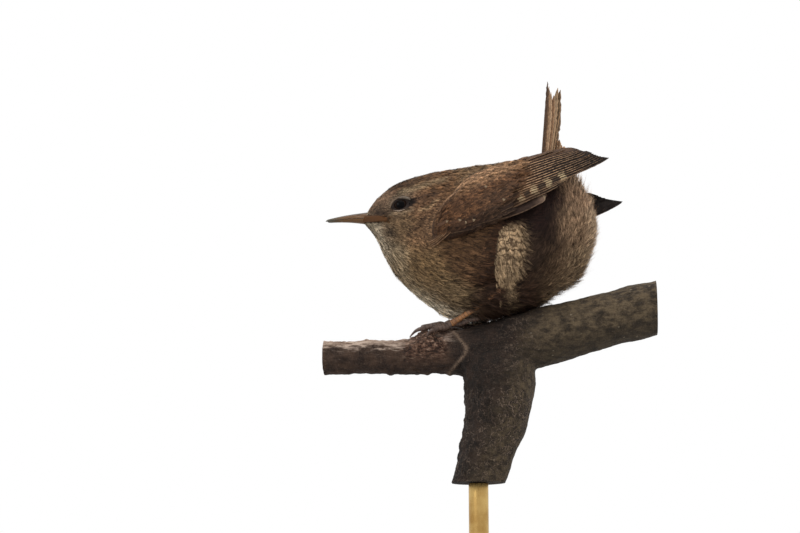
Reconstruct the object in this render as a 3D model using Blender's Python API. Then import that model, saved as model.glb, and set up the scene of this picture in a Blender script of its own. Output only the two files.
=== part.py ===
"""A life-size wren gripping a cut length of forked branch, on a plain display stand.

Metres, +Z up. The origin is the centre of the stand's underside. The bird faces -X, its left side
is towards -Y, and the plane Y = 0 cuts it into two like halves. Only the wings differ: the right one
hangs lower, as in the pose that is copied. Every piece is a closed solid out to the feather tips.
"""

import math

import bmesh
import bpy
from mathutils import Matrix, Vector
from mathutils.bvhtree import BVHTree

MM = 0.001
GAP = 0.3 * MM  # clear space between neighbours

# Stand: a flat round base and one upright rod.
BASE_RADIUS = 44.0 * MM
BASE_HEIGHT = 8.0 * MM
BASE_EDGE = 1.2 * MM
ROD_RADIUS = 2.4 * MM
BASE_SIDES = 56
ROD_SIDES = 24

# Perch: a limb that runs along X, and a stub that grows down from its fork and is cut off level.
# Rows along the limb: x, height of the axis, radius.
LIMB = (
    (-40.0, 75.3, 4.2),
    (-28.0, 75.2, 4.3),
    (-19.0, 75.2, 4.6),
    (-13.0, 75.9, 5.3),
    (-5.0, 76.2, 5.9),
    (4.0, 77.2, 6.9),
    (14.0, 79.6, 7.3),
    (28.0, 83.4, 7.0),
    (42.0, 87.0, 6.8),
)
STUB = (
    (2.6, 75.0, 7.2),
    (3.4, 68.0, 8.0),
    (2.4, 60.0, 7.5),
    (0.2, 52.0, 6.9),
    (-2.0, 44.0, 6.5),
)
PERCH_SIDES = 16
LIMB_STEPS = 26
STUB_STEPS = 12

# Body: rows from the bill's root to the vent. Each is one flat section square to the plane Y = 0:
# x and z of its upper edge, x and z of its lower edge, and half its width.
BODY = (
    (-29.4, 112.2, -30.4, 109.3, 1.6),
    (-26.6, 115.8, -27.9, 106.2, 4.7),
    (-21.6, 119.4, -25.0, 100.9, 7.7),
    (-14.5, 121.6, -21.6, 95.0, 9.6),
    (-6.5, 122.9, -15.4, 88.9, 12.8),
    (1.5, 123.8, -7.6, 85.7, 15.0),
    (9.5, 124.5, 3.4, 86.3, 15.2),
    (17.0, 124.4, 14.5, 88.8, 13.6),
    (23.5, 121.6, 22.8, 92.2, 11.0),
    (27.3, 114.8, 26.7, 98.6, 7.6),
    (28.9, 107.8, 28.7, 104.6, 2.4),
)
BODY_SIDES = 28
PEAR = 0.18  # how much wider a section is below its middle than above it
# Where the thin cuts part the body, as shares of the way along its rows.
BODY_CUTS = (
    ("head", 0.0, 0.285, 9),
    ("neck", 0.285, 0.40, 4),
    ("breast", 0.40, 0.52, 5),
    ("trunk", 0.52, 0.70, 7),
    ("vent", 0.70, 1.0, 9),
)
CUT = 0.0035  # half of a cut's width, as a share of the same way
TREE_STEPS = 60  # lengths of the uncut body that wings and thighs are laid on
FAR = 60.0 * MM  # outside the body on any side

# Eyes.
EYE_RADIUS = 2.15 * MM
SOCKET_RADIUS = 2.5 * MM
EYE_CENTRE = Vector((-20.6, 5.75, 112.5)) * MM

# Bill: culmen, cutting edge and lower edge, from the face to the tip.
BILL_TIP_X = -40.0
CUTTING_EDGE_Z = 110.2
UPPER_DEPTH = 1.75
LOWER_DEPTH = 0.85
BILL_HALF_WIDTH = 1.45
BILL_TAPER = 0.78  # share of its width and depth that the bill loses by the tip
BILL_TAPER_CURVE = 0.85
BILL_HUMP = 0.22  # how far the cutting edge rises in its middle
BILL_DROOP = 0.27  # how far the tip turns down
LOWER_SHORTFALL = 0.5
BILL_STEPS = 8
BILL_ARC = 7

# Wings: lower and upper edges of the folded left wing, from the bend to the tip (x, y, z).
WING_LOWER = (
    (-11.6, -13.6, 102.4),
    (-4.9, -15.9, 102.5),
    (2.1, -16.8, 105.0),
    (9.8, -16.8, 108.2),
    (15.8, -15.2, 112.1),
    (24.1, -12.4, 117.8),
    (31.0, -9.3, 121.2),
)
WING_UPPER = (
    (-12.8, -12.8, 108.6),
    (-9.4, -11.6, 115.6),
    (-0.8, -9.6, 120.4),
    (6.6, -8.8, 122.7),
    (15.0, -8.4, 123.8),
    (24.0, -7.8, 124.7),
    (31.4, -8.9, 122.3),
)
WING_STEPS = 30
WING_COLUMNS = 7
WING_ROOT_THICKNESS = 2.6 * MM
WING_TIP_THICKNESS = 0.7 * MM
WING_CROWN = 2.2 * MM  # how far the folded wing's middle stands out past its two edges
WING_THIN_FROM = 0.45  # where the crown starts to flatten, as a share of the wing's length
WING_THIN_BY = 0.85  # where only the flight feathers' own thickness is left
PRIMARY_TIPS = 6
PRIMARY_NOTCH = 0.55 * MM
PRIMARY_START = 0.6  # where the first primary's tip shows along the lower edge
PRIMARY_FADE = 0.12
RIGHT_WING_DROOP = math.radians(9.0)

# Tail: a folded fan, upright, its front face a low roof.
TAIL_FRONT_X = 14.7 * MM
TAIL_ROOT_Z = 125.0 * MM
TAIL_TOP_Z = 144.8 * MM
TAIL_ROOF = 3.0 * MM
TAIL_LEAN = 1.6 * MM
TAIL_ROOT_HALF_WIDTH = 3.6 * MM
TAIL_TOP_HALF_WIDTH = 5.6 * MM
TAIL_ROOT_THICKNESS = 1.8 * MM
TAIL_TOP_THICKNESS = 0.7 * MM
TAIL_ROUNDING = 3.4 * MM
TAIL_FEATHERS = 7
TAIL_NOTCH = 1.5 * MM
TAIL_STEPS = 5
TAIL_COLUMNS = 28

# Thighs: the tuft of long flank feathers that hides the upper leg (x, y, z of its middle line).
THIGH_LINE = (
    (8.4, -16.4, 105.4),
    (8.2, -17.6, 100.4),
    (7.6, -17.4, 95.0),
    (7.0, -15.4, 90.4),
    (6.4, -12.6, 87.2),
)
RIGHT_THIGH_DROP = 4.2 * MM  # its top is lower than the left one's, under the wing that hangs
THIGH_HALF_WIDTH = 4.3 * MM
THIGH_THICKNESS = 2.6 * MM
THIGH_TOP_PHASE = 0.22  # how far round its outline the tuft starts: 0 would be a point
THIGH_TIP_PHASE = 0.96  # and where it ends: 1 would be a point
THIGH_EDGE = 0.35  # the tuft's thickness at its top and tip, as a share of that in its middle
THIGH_STEPS = 12
THIGH_COLUMNS = 8

# Legs: the bare shank runs low over the perch, and its upper end is inside the belly's feathers.
SHANK_RADIUS = 0.85 * MM
SHANK_KNOB = 0.25  # how much thicker the shank is at its two joints
SHANK_START = 0.06  # where its tube starts, as a share of the way from the foot's joint
SHANK_SIDES = 10
SHANK_STEPS = 7
TOE_RADIUS = 0.62 * MM
CLAW_ROOT = 0.48 * MM
CLAW_TIP = 0.26 * MM
TOE_SIDES = 7
TOE_STEPS = 7
TOE_SPREAD = 0.75  # under 1, the toes fan out at once and then run nearly level
TOE_START = 0.2  # where a toe's own tube starts, as a share of the way from the foot's joint
CLAW_STEPS = 4
CLAW_START = 0.7  # where the claw takes over from the toe
DIGIT_GAP = 0.04  # the clear space between them, as a share of the whole toe
KNUCKLE = 0.12
KNUCKLES = 3
TOE_LIFT = 1.15  # height of a toe's middle line over the bark
CLAW_SINK = 0.2
FOOT_HEIGHT = 1.7  # height of the foot's joint over the bark
SEARCH_STEPS = 40  # enough to find a place along the limb by its x
# Each foot: x and the angle round the perch from straight up (+ is towards the bird's left) of the
# joint where the toes meet, then the same two for the tip of each claw, and how high the toe arches.
FEET = {
    "left": (
        (-8.2, 30.0),
        {
            "1": (1.6, 14.0, 1.0),
            "2": (-16.4, -14.0, 1.0),
            "3": (-18.6, 22.0, 1.5),
            "4": (-14.2, 50.0, 1.0),
        },
    ),
    "right": (
        (-3.4, -32.0),
        {
            "1": (2.2, -104.0, 1.2),
            "2": (-11.6, -4.0, 1.0),
            "3": (-13.6, -34.0, 1.5),
            "4": (-6.4, -102.0, 1.0),
        },
    ),
}
SHANK_TOPS = {"left": Vector((3.4, -9.8, 90.0)) * MM, "right": Vector((6.6, 9.8, 90.6)) * MM}
GROOVE_MARGIN = 0.6 * MM  # how much wider than the shank its groove in the belly is, all round

COLOURS = {
    "brown feather": ((0.105, 0.055, 0.028), 0.85, 0.0),
    "buff feather": ((0.19, 0.13, 0.075), 0.88, 0.0),
    "wing feather": ((0.085, 0.040, 0.020), 0.8, 0.0),
    "horn": ((0.13, 0.065, 0.035), 0.38, 0.0),
    "leg skin": ((0.16, 0.075, 0.038), 0.5, 0.0),
    "claw": ((0.05, 0.035, 0.028), 0.4, 0.0),
    "eye": ((0.008, 0.006, 0.006), 0.06, 0.0),
    "bark": ((0.055, 0.042, 0.032), 0.9, 0.0),
    "stand wood": ((0.035, 0.027, 0.022), 0.4, 0.0),
    "stand rod": ((0.42, 0.30, 0.14), 0.3, 1.0),
}


def clear_scene():
    for thing in list(bpy.data.objects):
        bpy.data.objects.remove(thing, do_unlink=True)


def finish(name):
    """The material of this name, made once: a Principled BSDF with its colour, roughness and metal."""
    material = bpy.data.materials.get(name)
    if material is None:
        colour, roughness, metallic = COLOURS[name]
        material = bpy.data.materials.new(name)
        material.use_nodes = True
        shader = material.node_tree.nodes["Principled BSDF"]
        shader.inputs["Base Color"].default_value = (*colour, 1.0)
        shader.inputs["Roughness"].default_value = roughness
        shader.inputs["Metallic"].default_value = metallic
    return material


def add_solid(name, points, faces, material):
    """A named object from points and faces, its doubles merged and its faces turned outwards."""
    work = bmesh.new()
    corners = [work.verts.new(point) for point in points]
    for face in faces:
        work.faces.new([corners[index] for index in face])
    bmesh.ops.remove_doubles(work, verts=work.verts, dist=0.002 * MM)
    bmesh.ops.recalc_face_normals(work, faces=work.faces)
    mesh = bpy.data.meshes.new(name)
    work.to_mesh(mesh)
    work.free()
    mesh.shade_smooth()
    mesh.set_sharp_from_angle(angle=math.radians(40))
    mesh.materials.append(finish(material))
    solid = bpy.data.objects.new(name, mesh)
    bpy.context.scene.collection.objects.link(solid)
    return solid


def along(rows, share):
    """A row of values read from a smooth curve through rows, at this share of the way along it."""
    place = min(max(share, 0.0), 1.0) * (len(rows) - 1)
    first = min(int(place), len(rows) - 2)
    t = place - first
    before, here, there, after = (
        rows[min(max(first + step, 0), len(rows) - 1)] for step in (-1, 0, 1, 2)
    )
    return [
        b + 0.5 * t * (c - a + t * (2 * a - 5 * b + 4 * c - d + t * (3 * (b - c) + d - a)))
        for a, b, c, d in zip(before, here, there, after)
    ]


def ease(share):
    share = min(max(share, 0.0), 1.0)
    return share * share * (3 - 2 * share)


def skin_rings(rings):
    """Points and faces of a closed solid through rings of points, with a flat face at each end."""
    sides = len(rings[0])
    points = [point for ring in rings for point in ring]
    faces = [tuple(range(sides)), tuple(range(len(points) - sides, len(points)))]
    for start in range(0, len(points) - sides, sides):
        for side in range(sides):
            after = (side + 1) % sides
            faces.append((start + side, start + after, start + sides + after, start + sides + side))
    return points, faces


def tube_rings(path, radii, sides):
    """Rings square to a path, turned as little as possible from one to the next."""
    rings = []
    across = Vector((0, 1, 0))
    for index, centre in enumerate(path):
        back = path[max(index - 1, 0)]
        ahead = path[min(index + 1, len(path) - 1)]
        run = (ahead - back).normalized()
        across = (across - run * across.dot(run)).normalized()
        up = run.cross(across)
        ring = []
        for side in range(sides):
            angle = math.tau * side / sides
            ring.append(centre + radii[index] * (math.cos(angle) * across + math.sin(angle) * up))
        rings.append(ring)
    return rings


def slab(name, outer, inner, steps, columns, material):
    """A closed sheet between two surfaces, each a function of two shares from 0 to 1."""
    points = []
    for surface in (outer, inner):
        for row in range(steps + 1):
            for column in range(columns + 1):
                points.append(surface(row / steps, column / columns))
    width = columns + 1
    back = (steps + 1) * width
    faces = []
    for row in range(steps):
        for column in range(columns):
            corner = row * width + column
            face = (corner, corner + 1, corner + width + 1, corner + width)
            faces.append(face)
            faces.append(tuple(index + back for index in face))
    rim = [column for column in range(width)]
    rim += [row * width + columns for row in range(1, steps + 1)]
    rim += [steps * width + column for column in range(columns - 1, -1, -1)]
    rim += [row * width for row in range(steps - 1, 0, -1)]
    for here, there in zip(rim, rim[1:] + rim[:1]):
        faces.append((here, there, there + back, here + back))
    return add_solid(name, points, faces, material)


def body_ring(share):
    """One section of the body, a pear shape between its upper and lower edges."""
    top_x, top_z, low_x, low_z, half_width = along(BODY, share)
    top = Vector((top_x, 0, top_z)) * MM
    low = Vector((low_x, 0, low_z)) * MM
    centre = (top + low) / 2
    rise = (top - low) / 2
    ring = []
    for side in range(BODY_SIDES):
        angle = math.tau * side / BODY_SIDES
        height = math.cos(angle)
        width = math.sin(angle) * half_width * MM * (1 - PEAR * height)
        ring.append(centre + rise * height + Vector((0, width, 0)))
    return ring


def make_body():
    """The body in five lengths, parted by thin cuts, and the sockets that the eyes sit in."""
    for name, start, end, steps in BODY_CUTS:
        first = start + CUT if start > 0 else start
        last = end - CUT if end < 1 else end
        rings = [body_ring(first + (last - first) * step / steps) for step in range(steps + 1)]
        colour = "buff feather" if name in ("breast", "vent") else "brown feather"
        add_solid(name, *skin_rings(rings), colour)
    for side, sign in (("left", -1), ("right", 1)):
        centre = Vector((EYE_CENTRE.x, sign * EYE_CENTRE.y, EYE_CENTRE.z))
        make_ball("eye_" + side, centre, EYE_RADIUS, "eye")
        socket = make_ball("eye_socket_" + side, centre, SOCKET_RADIUS, "eye")
        cut_with(bpy.data.objects["head"], socket, "DIFFERENCE")


def make_ball(name, centre, radius, material):
    work = bmesh.new()
    bmesh.ops.create_uvsphere(work, u_segments=16, v_segments=10, radius=radius)
    turn = Matrix.Rotation(math.radians(90), 3, "X")
    points = [turn @ corner.co + centre for corner in work.verts]
    faces = [[corner.index for corner in face.verts] for face in work.faces]
    work.free()
    return add_solid(name, points, faces, material)


def cut_with(solid, tool, operation):
    """A Boolean on solid. The tool stays in the file as a guide that isn't part of the object."""
    tool.hide_render = True
    tool.display_type = "WIRE"
    step = solid.modifiers.new(tool.name, "BOOLEAN")
    step.operation = operation
    step.solver = "EXACT"
    step.object = tool


def whole_body():
    """The uncut body, as a tree that wings and thighs are laid on."""
    points, faces = skin_rings([body_ring(step / TREE_STEPS) for step in range(TREE_STEPS + 1)])
    return BVHTree.FromPolygons(points, faces)


def flank(tree, point):
    """How far out the body's left side is behind this point, or 0 where there is no body."""
    far = Vector((point.x, -FAR, point.z))
    hit = tree.ray_cast(far, Vector((0, 1, 0)))[0]
    return hit.y if hit is not None else 0.0


def make_bill():
    """Two tapered horn sheaths, flat where they meet along the cutting edge, just ahead of the face."""
    face_x, face_z, low_x, low_z = BODY[0][:4]
    face_slant = (face_x - low_x) / (face_z - low_z)
    face_x -= 1.2 * GAP / MM
    for name, sign, depth, shortfall in (
        ("bill_upper", 1, UPPER_DEPTH, 0.0),
        ("bill_lower", -1, LOWER_DEPTH, LOWER_SHORTFALL),
    ):
        tip_x = BILL_TIP_X + shortfall
        rings = []
        for step in range(BILL_STEPS + 1):
            share = step / BILL_STEPS
            taper = 1 - BILL_TAPER * share ** BILL_TAPER_CURVE
            edge = CUTTING_EDGE_Z + BILL_HUMP * math.sin(math.pi * share) - BILL_DROOP * share ** 2
            edge += sign * GAP / MM / 2
            ring = []
            for corner in range(BILL_ARC + 1):
                angle = math.pi * corner / BILL_ARC
                across = BILL_HALF_WIDTH * taper * math.cos(angle)
                z = edge + sign * depth * taper * math.sin(angle) ** 0.8
                root_x = face_x + face_slant * (z - face_z)
                ring.append(Vector((root_x + (tip_x - root_x) * share, across, z)) * MM)
            rings.append(ring)
        add_solid(name, *skin_rings(rings), "horn")


def wing_surface(tree, share, column, layer):
    """A point of the folded left wing: layer 0 is its outer face and layer 1 the face next the body."""
    lower = Vector(along(WING_LOWER, share)) * MM
    upper = Vector(along(WING_UPPER, share)) * MM
    chord = (upper - lower).normalized()
    past = share - PRIMARY_START
    steps = abs(math.sin(math.pi * PRIMARY_TIPS * past / (1 - PRIMARY_START)))
    lower = lower + chord * PRIMARY_NOTCH * ease(past / PRIMARY_FADE) * steps
    point = lower.lerp(upper, column)
    bow = max(math.sin(math.pi * column), 0.0)
    point.y -= WING_CROWN * bow ** 0.8 * (1 - ease((share - WING_THIN_FROM) / (1 - WING_THIN_FROM)))
    padding = (WING_ROOT_THICKNESS - WING_TIP_THICKNESS) * (1 - ease(share / WING_THIN_BY))
    thickness = WING_TIP_THICKNESS + padding * bow ** 0.5
    inner = min(point.y + thickness, flank(tree, point) - GAP)
    point.y = min(point.y, inner - WING_TIP_THICKNESS) if layer == 0 else inner
    return point


def make_wings(tree):
    """Both folded wings. The right one is the left one mirrored, then dropped about its bend."""

    def outer(share, column):
        return wing_surface(tree, share, column, 0)

    def inner(share, column):
        return wing_surface(tree, share, column, 1)

    slab("wing_left", outer, inner, WING_STEPS, WING_COLUMNS, "wing feather")
    bend = Vector(WING_LOWER[0]) * MM
    drop = Matrix.Rotation(RIGHT_WING_DROOP, 3, "Y")

    def mirrored(surface):
        def point_at(share, column):
            point = surface(share, column)
            turned = drop @ Vector((point.x - bend.x, 0, point.z - bend.z))
            body = flank(tree, Vector((turned.x + bend.x, 0, turned.z + bend.z)))
            room = max(-point.y, GAP * (2 if surface is inner else 4) - body)  # clear of the body
            return Vector((turned.x + bend.x, room, turned.z + bend.z))

        return point_at

    slab("wing_right", mirrored(outer), mirrored(inner), WING_STEPS, WING_COLUMNS, "wing feather")


def make_tail():
    """The folded tail, highest in the middle and scalloped where each feather ends."""

    def surface(share, column, layer):
        side = 2 * column - 1
        lobe = abs(math.sin(math.pi * TAIL_FEATHERS * column)) ** 0.7
        height = TAIL_TOP_Z - TAIL_ROOT_Z - TAIL_ROUNDING * side * side - TAIL_NOTCH * (1 - lobe)
        half_width = TAIL_ROOT_HALF_WIDTH + (TAIL_TOP_HALF_WIDTH - TAIL_ROOT_HALF_WIDTH) * share
        thickness = TAIL_ROOT_THICKNESS + (TAIL_TOP_THICKNESS - TAIL_ROOT_THICKNESS) * share
        x = TAIL_FRONT_X + TAIL_ROOF * abs(side) ** 1.4 + TAIL_LEAN * share + layer * thickness
        return Vector((x, half_width * side, TAIL_ROOT_Z + height * share))

    def front(share, column):
        return surface(share, column, 0)

    def back(share, column):
        return surface(share, column, 1)

    slab("tail", front, back, TAIL_STEPS, TAIL_COLUMNS, "wing feather")


def make_thigh(tree, side, sign):
    """A pointed tuft that hangs over the flank below the wing's lower edge."""

    def surface(share, column, layer):
        middle = Vector(along(THIGH_LINE, share)) * MM
        if side == "right":
            middle.z -= RIGHT_THIGH_DROP * (1 - share) ** 2
        across = 2 * column - 1
        phase = THIGH_TOP_PHASE + (THIGH_TIP_PHASE - THIGH_TOP_PHASE) * share
        width = THIGH_HALF_WIDTH * math.sin(math.pi * phase) ** 0.8
        point = middle + Vector((width * across, 0, 0))
        swell = THIGH_EDGE + (1 - THIGH_EDGE) * math.sin(math.pi * share)
        inner = min(point.y + THIGH_THICKNESS, flank(tree, point) - GAP)
        outer = inner - 2 * GAP - THIGH_THICKNESS * math.sqrt(1 - across * across) * swell
        point.y = (inner if layer else outer) * -sign
        return point

    def outside(share, column):
        return surface(share, column, 0)

    def inside(share, column):
        return surface(share, column, 1)

    slab("thigh_" + side, outside, inside, THIGH_STEPS, THIGH_COLUMNS, "buff feather")


def on_bark(x, angle, height):
    """The point over the limb at this x, turned this angle from straight up, this high over the bark."""
    share = 0.5
    span = LIMB[-1][0] - LIMB[0][0]
    for _ in range(SEARCH_STEPS):
        share += (x - along(LIMB, share)[0]) / span
    axis_x, axis_z, radius = along(LIMB, share)
    reach = radius + height
    turn = math.radians(angle)
    return Vector((axis_x, -reach * math.sin(turn), axis_z + reach * math.cos(turn))) * MM


def make_leg(side):
    """A bare shank, and four toes with their claws, each a closed tube over the bark."""
    (foot_x, foot_angle), toes = FEET[side]
    foot = on_bark(foot_x, foot_angle, FOOT_HEIGHT)
    top = SHANK_TOPS[side]
    start = foot.lerp(top, SHANK_START)
    path = [start.lerp(top, step / SHANK_STEPS) for step in range(SHANK_STEPS + 1)]
    radii = []
    for step in range(SHANK_STEPS + 1):
        radii.append(SHANK_RADIUS * (1 + SHANK_KNOB * abs(2 * step / SHANK_STEPS - 1) ** 3))
    add_solid("shank_" + side, *skin_rings(tube_rings(path, radii, SHANK_SIDES)), "leg skin")
    run = (top - foot).normalized()
    groove_path = [foot - run * GROOVE_MARGIN, top + run * 2 * GAP]
    groove_rings = tube_rings(groove_path, [SHANK_RADIUS + GROOVE_MARGIN] * 2, SHANK_SIDES)
    groove = add_solid("shank_groove_" + side, *skin_rings(groove_rings), "leg skin")
    for name in ("breast", "trunk"):
        cut_with(bpy.data.objects[name], groove, "DIFFERENCE")
    for toe, (tip_x, tip_angle, arch) in toes.items():
        for kind, first, last, steps, material in (
            ("toe", TOE_START, CLAW_START - DIGIT_GAP, TOE_STEPS, "leg skin"),
            ("claw", CLAW_START, 1.0, CLAW_STEPS, "claw"),
        ):
            path = []
            radii = []
            for step in range(steps + 1):
                share = first + (last - first) * step / steps
                claw = max(0.0, (share - CLAW_START) / (1 - CLAW_START))
                x = foot_x + (tip_x - foot_x) * share
                angle = foot_angle + (tip_angle - foot_angle) * share ** TOE_SPREAD
                lift = TOE_LIFT + arch * math.sin(math.pi * share) - CLAW_SINK * claw
                path.append(on_bark(x, angle, lift))
                if kind == "toe":
                    radii.append(TOE_RADIUS * (1 + KNUCKLE * math.cos(KNUCKLES * math.tau * share)))
                else:
                    radii.append(CLAW_ROOT + (CLAW_TIP - CLAW_ROOT) * claw)
            name = kind + "_" + side + "_" + toe
            add_solid(name, *skin_rings(tube_rings(path, radii, TOE_SIDES)), material)


def make_perch():
    """The forked length of branch, one piece: the limb joined with the stub under it."""
    rings = []
    for rows, steps in ((LIMB, LIMB_STEPS), (STUB, STUB_STEPS)):
        path = []
        radii = []
        for step in range(steps + 1):
            x, z, radius = along(rows, step / steps)
            path.append(Vector((x, 0, z)) * MM)
            radii.append(radius * MM)
        rings.append(tube_rings(path, radii, PERCH_SIDES))
    floor = STUB[-1][1] * MM
    for point in rings[1][-1]:
        point.z = floor
    limb = add_solid("perch", *skin_rings(rings[0]), "bark")
    stub = add_solid("perch_stub", *skin_rings(rings[1]), "bark")
    cut_with(limb, stub, "UNION")


def make_stand():
    """A turned base and a straight rod, which stops just under the stub's flat end."""
    for name, radius, low, high, sides, material in (
        ("stand_base", BASE_RADIUS, 0.0, BASE_HEIGHT, BASE_SIDES, "stand wood"),
        ("stand_rod", ROD_RADIUS, BASE_HEIGHT + GAP, STUB[-1][1] * MM - GAP, ROD_SIDES, "stand rod"),
    ):
        centre_x = 0.0 if name == "stand_base" else STUB[-1][0] * MM
        rings = []
        for z in (low, high):
            ring = []
            for side in range(sides):
                angle = math.tau * side / sides
                ring.append(Vector((centre_x + radius * math.cos(angle), radius * math.sin(angle), z)))
            rings.append(ring)
        solid = add_solid(name, *skin_rings(rings), material)
        if name == "stand_base":
            edge = solid.modifiers.new("turned edge", "BEVEL")
            edge.width = BASE_EDGE
            edge.segments = 2
            edge.limit_method = "ANGLE"


clear_scene()
make_body()
body_tree = whole_body()
make_bill()
make_wings(body_tree)
make_tail()
for side_name, side_sign in (("left", 1), ("right", -1)):
    make_thigh(body_tree, side_name, -side_sign)
    make_leg(side_name)
make_perch()
make_stand()
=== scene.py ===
import math

import bmesh
import bpy
import numpy as np
from mathutils import Matrix, Vector, noise
from mathutils.bvhtree import BVHTree


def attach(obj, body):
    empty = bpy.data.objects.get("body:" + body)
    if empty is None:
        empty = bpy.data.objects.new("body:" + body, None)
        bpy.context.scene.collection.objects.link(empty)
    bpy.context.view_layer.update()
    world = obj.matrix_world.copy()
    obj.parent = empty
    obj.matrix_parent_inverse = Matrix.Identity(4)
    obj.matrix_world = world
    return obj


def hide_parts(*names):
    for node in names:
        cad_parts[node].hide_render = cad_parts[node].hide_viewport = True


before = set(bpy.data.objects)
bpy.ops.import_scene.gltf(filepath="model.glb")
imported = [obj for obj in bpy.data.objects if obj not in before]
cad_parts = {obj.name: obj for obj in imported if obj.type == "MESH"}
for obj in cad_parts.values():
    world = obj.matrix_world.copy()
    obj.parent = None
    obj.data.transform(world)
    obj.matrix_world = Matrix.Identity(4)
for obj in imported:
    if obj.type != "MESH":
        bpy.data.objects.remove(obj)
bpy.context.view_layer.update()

# Stand base: a turned disc of dark stained hardwood that lies flat on the table. Its two edges are
# rounded over and a shallow groove is turned into its top.
MM = 0.001


def put(tree, kind, sockets=None, **settings):
    """Adds a node with these settings; a socket, by name or number, gets a value or a node's output."""
    made = tree.nodes.new(kind)
    for name, value in settings.items():
        setattr(made, name, value)
    for name, value in (sockets or {}).items():
        if isinstance(value, bpy.types.NodeSocket):
            tree.links.new(value, made.inputs[name])
        else:
            made.inputs[name].default_value = value
    return made


def calc(tree, operation, first, second=0.0, third=0.0):
    """One number worked out from up to three others."""
    sockets = {0: first, 1: second, 2: third}
    return put(tree, "ShaderNodeMath", sockets, operation=operation).outputs[0]


def ease(tree, value, low, high, start=0.0, end=1.0):
    """Goes smoothly from start to end while value goes from low to high."""
    sockets = {"Value": value, "From Min": low, "From Max": high, "To Min": start, "To Max": end}
    return put(tree, "ShaderNodeMapRange", sockets, interpolation_type="SMOOTHSTEP").outputs[0]


def blend(tree, share, one, other, kind="MIX"):
    """One colour mixed with another by this share."""
    sockets = {"Factor": share, 6: one, 7: other}
    return put(tree, "ShaderNodeMix", sockets, data_type="RGBA", blend_type=kind).outputs[2]


def grain(tree, place, size, detail=3.0, rough=0.5):
    """Soft noise from 0 to 1; size is in millimetres."""
    sockets = {"Vector": place, "Scale": 1 / (size * MM), "Detail": detail, "Roughness": rough}
    return put(tree, "ShaderNodeTexNoise", sockets).outputs[0]


def stretched(tree, place, x, y, z):
    """The place with each axis multiplied, so that a pattern is drawn out."""
    sockets = {0: place, 1: (x, y, z)}
    return put(tree, "ShaderNodeVectorMath", sockets, operation="MULTIPLY").outputs[0]


def paint(red, green, blue):
    """A colour, on the usual 0 to 255 scale, as the shader wants it."""
    return tuple((part / 255) ** 2.2 for part in (red, green, blue)) + (1.0,)


def bump(tree, height, depth, strength=1.0):
    """A normal from a height between 0 and 1; depth is in millimetres."""
    sockets = {"Strength": strength, "Distance": depth * MM, "Height": height}
    return put(tree, "ShaderNodeBump", sockets).outputs[0]


def new_material(name, roughness, **constants):
    """A material with its own Principled BSDF; returns the material, its tree and the shader."""
    material = bpy.data.materials.new(name)
    material.use_nodes = True
    tree = material.node_tree
    shader = tree.nodes["Principled BSDF"]
    shader.inputs["Roughness"].default_value = roughness
    for socket, value in constants.items():
        shader.inputs[socket.replace("_", " ")].default_value = value
    return material, tree, shader


def object_place(tree):
    return put(tree, "ShaderNodeTexCoord").outputs["Object"]


def sheet_faces(rows, columns, closed=False, start=0):
    """Four-cornered faces over a grid of points, counted row by row."""
    faces = []
    for row in range(rows - 1):
        for column in range(columns if closed else columns - 1):
            after = (column + 1) % columns
            low = start + row * columns
            high = low + columns
            faces.append((low + column, low + after, high + after, high + column))
    return faces


def new_piece(name, points, faces, material):
    """An object at the origin from points in millimetres, its faces turned outwards."""
    work = bmesh.new()
    corners = [work.verts.new(point) for point in np.asarray(points, float) * MM]
    for face in faces:
        work.faces.new([corners[index] for index in face])
    bmesh.ops.recalc_face_normals(work, faces=work.faces)
    mesh = bpy.data.meshes.new(name)
    work.to_mesh(mesh)
    work.free()
    mesh.shade_smooth()
    mesh.materials.append(material)
    piece = bpy.data.objects.new(name, mesh)
    bpy.context.scene.collection.objects.link(piece)
    return piece


def settle(piece, slot, *nodes):
    """Ties a finished piece to the frame's root body and hides the nodes that it stands for; slot is not used."""
    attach(piece, "root")
    if nodes:
        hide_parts(*nodes)


def turned(name, profile, centre_x, sides, material):
    """A closed turned solid from a profile of radius and height, lowest first."""
    angles = np.linspace(0, math.tau, sides, endpoint=False)
    points = [
        (centre_x + radius * math.cos(angle), radius * math.sin(angle), height)
        for radius, height in profile
        for angle in angles
    ]
    faces = sheet_faces(len(profile), sides, closed=True)
    faces.append(tuple(range(sides)))
    faces.append(tuple(range(len(points) - sides, len(points))))
    piece = new_piece(name, points, faces, material)
    piece.data.set_sharp_from_angle(angle=math.radians(35))
    return piece


def rounded(radius, height, round_over, steps, upwards):
    """Profile points round one edge of a turned solid."""
    points = []
    for step in range(steps + 1):
        turn = math.pi / 2 * step / steps
        out = radius - round_over * (1 - math.sin(turn))
        rise = round_over * (1 - math.cos(turn))
        points.append((out, height + rise if upwards else height - rise))
    return points if upwards else points[::-1]


BASE_RADIUS = 44.0
BASE_HEIGHT = 8.0
BASE_ROUND = 1.6
GROOVE_RADIUS = 38.5
GROOVE_DEPTH = 0.5

wood, tree, shader = new_material("stained wood", 0.38, Coat_Weight=0.25, Coat_Roughness=0.25)
place = object_place(tree)
rings = grain(tree, stretched(tree, place, 0.12, 1.0, 1.0), 3.0, 5.0, 0.55)
pores = grain(tree, stretched(tree, place, 0.05, 1.0, 1.0), 0.35, 2.0, 0.5)
tone = blend(tree, ease(tree, rings, 0.35, 0.68), paint(44, 33, 27), paint(70, 54, 43))
tone = blend(tree, ease(tree, pores, 0.58, 0.72), tone, paint(26, 20, 17))
tree.links.new(tone, shader.inputs["Base Color"])
tree.links.new(ease(tree, pores, 0.4, 0.75, 0.34, 0.52), shader.inputs["Roughness"])
tree.links.new(bump(tree, pores, 0.05, 0.5), shader.inputs["Normal"])
profile = rounded(BASE_RADIUS, 0.0, 0.8, 4, True)
profile += rounded(BASE_RADIUS, BASE_HEIGHT, BASE_ROUND, 8, False)
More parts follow.
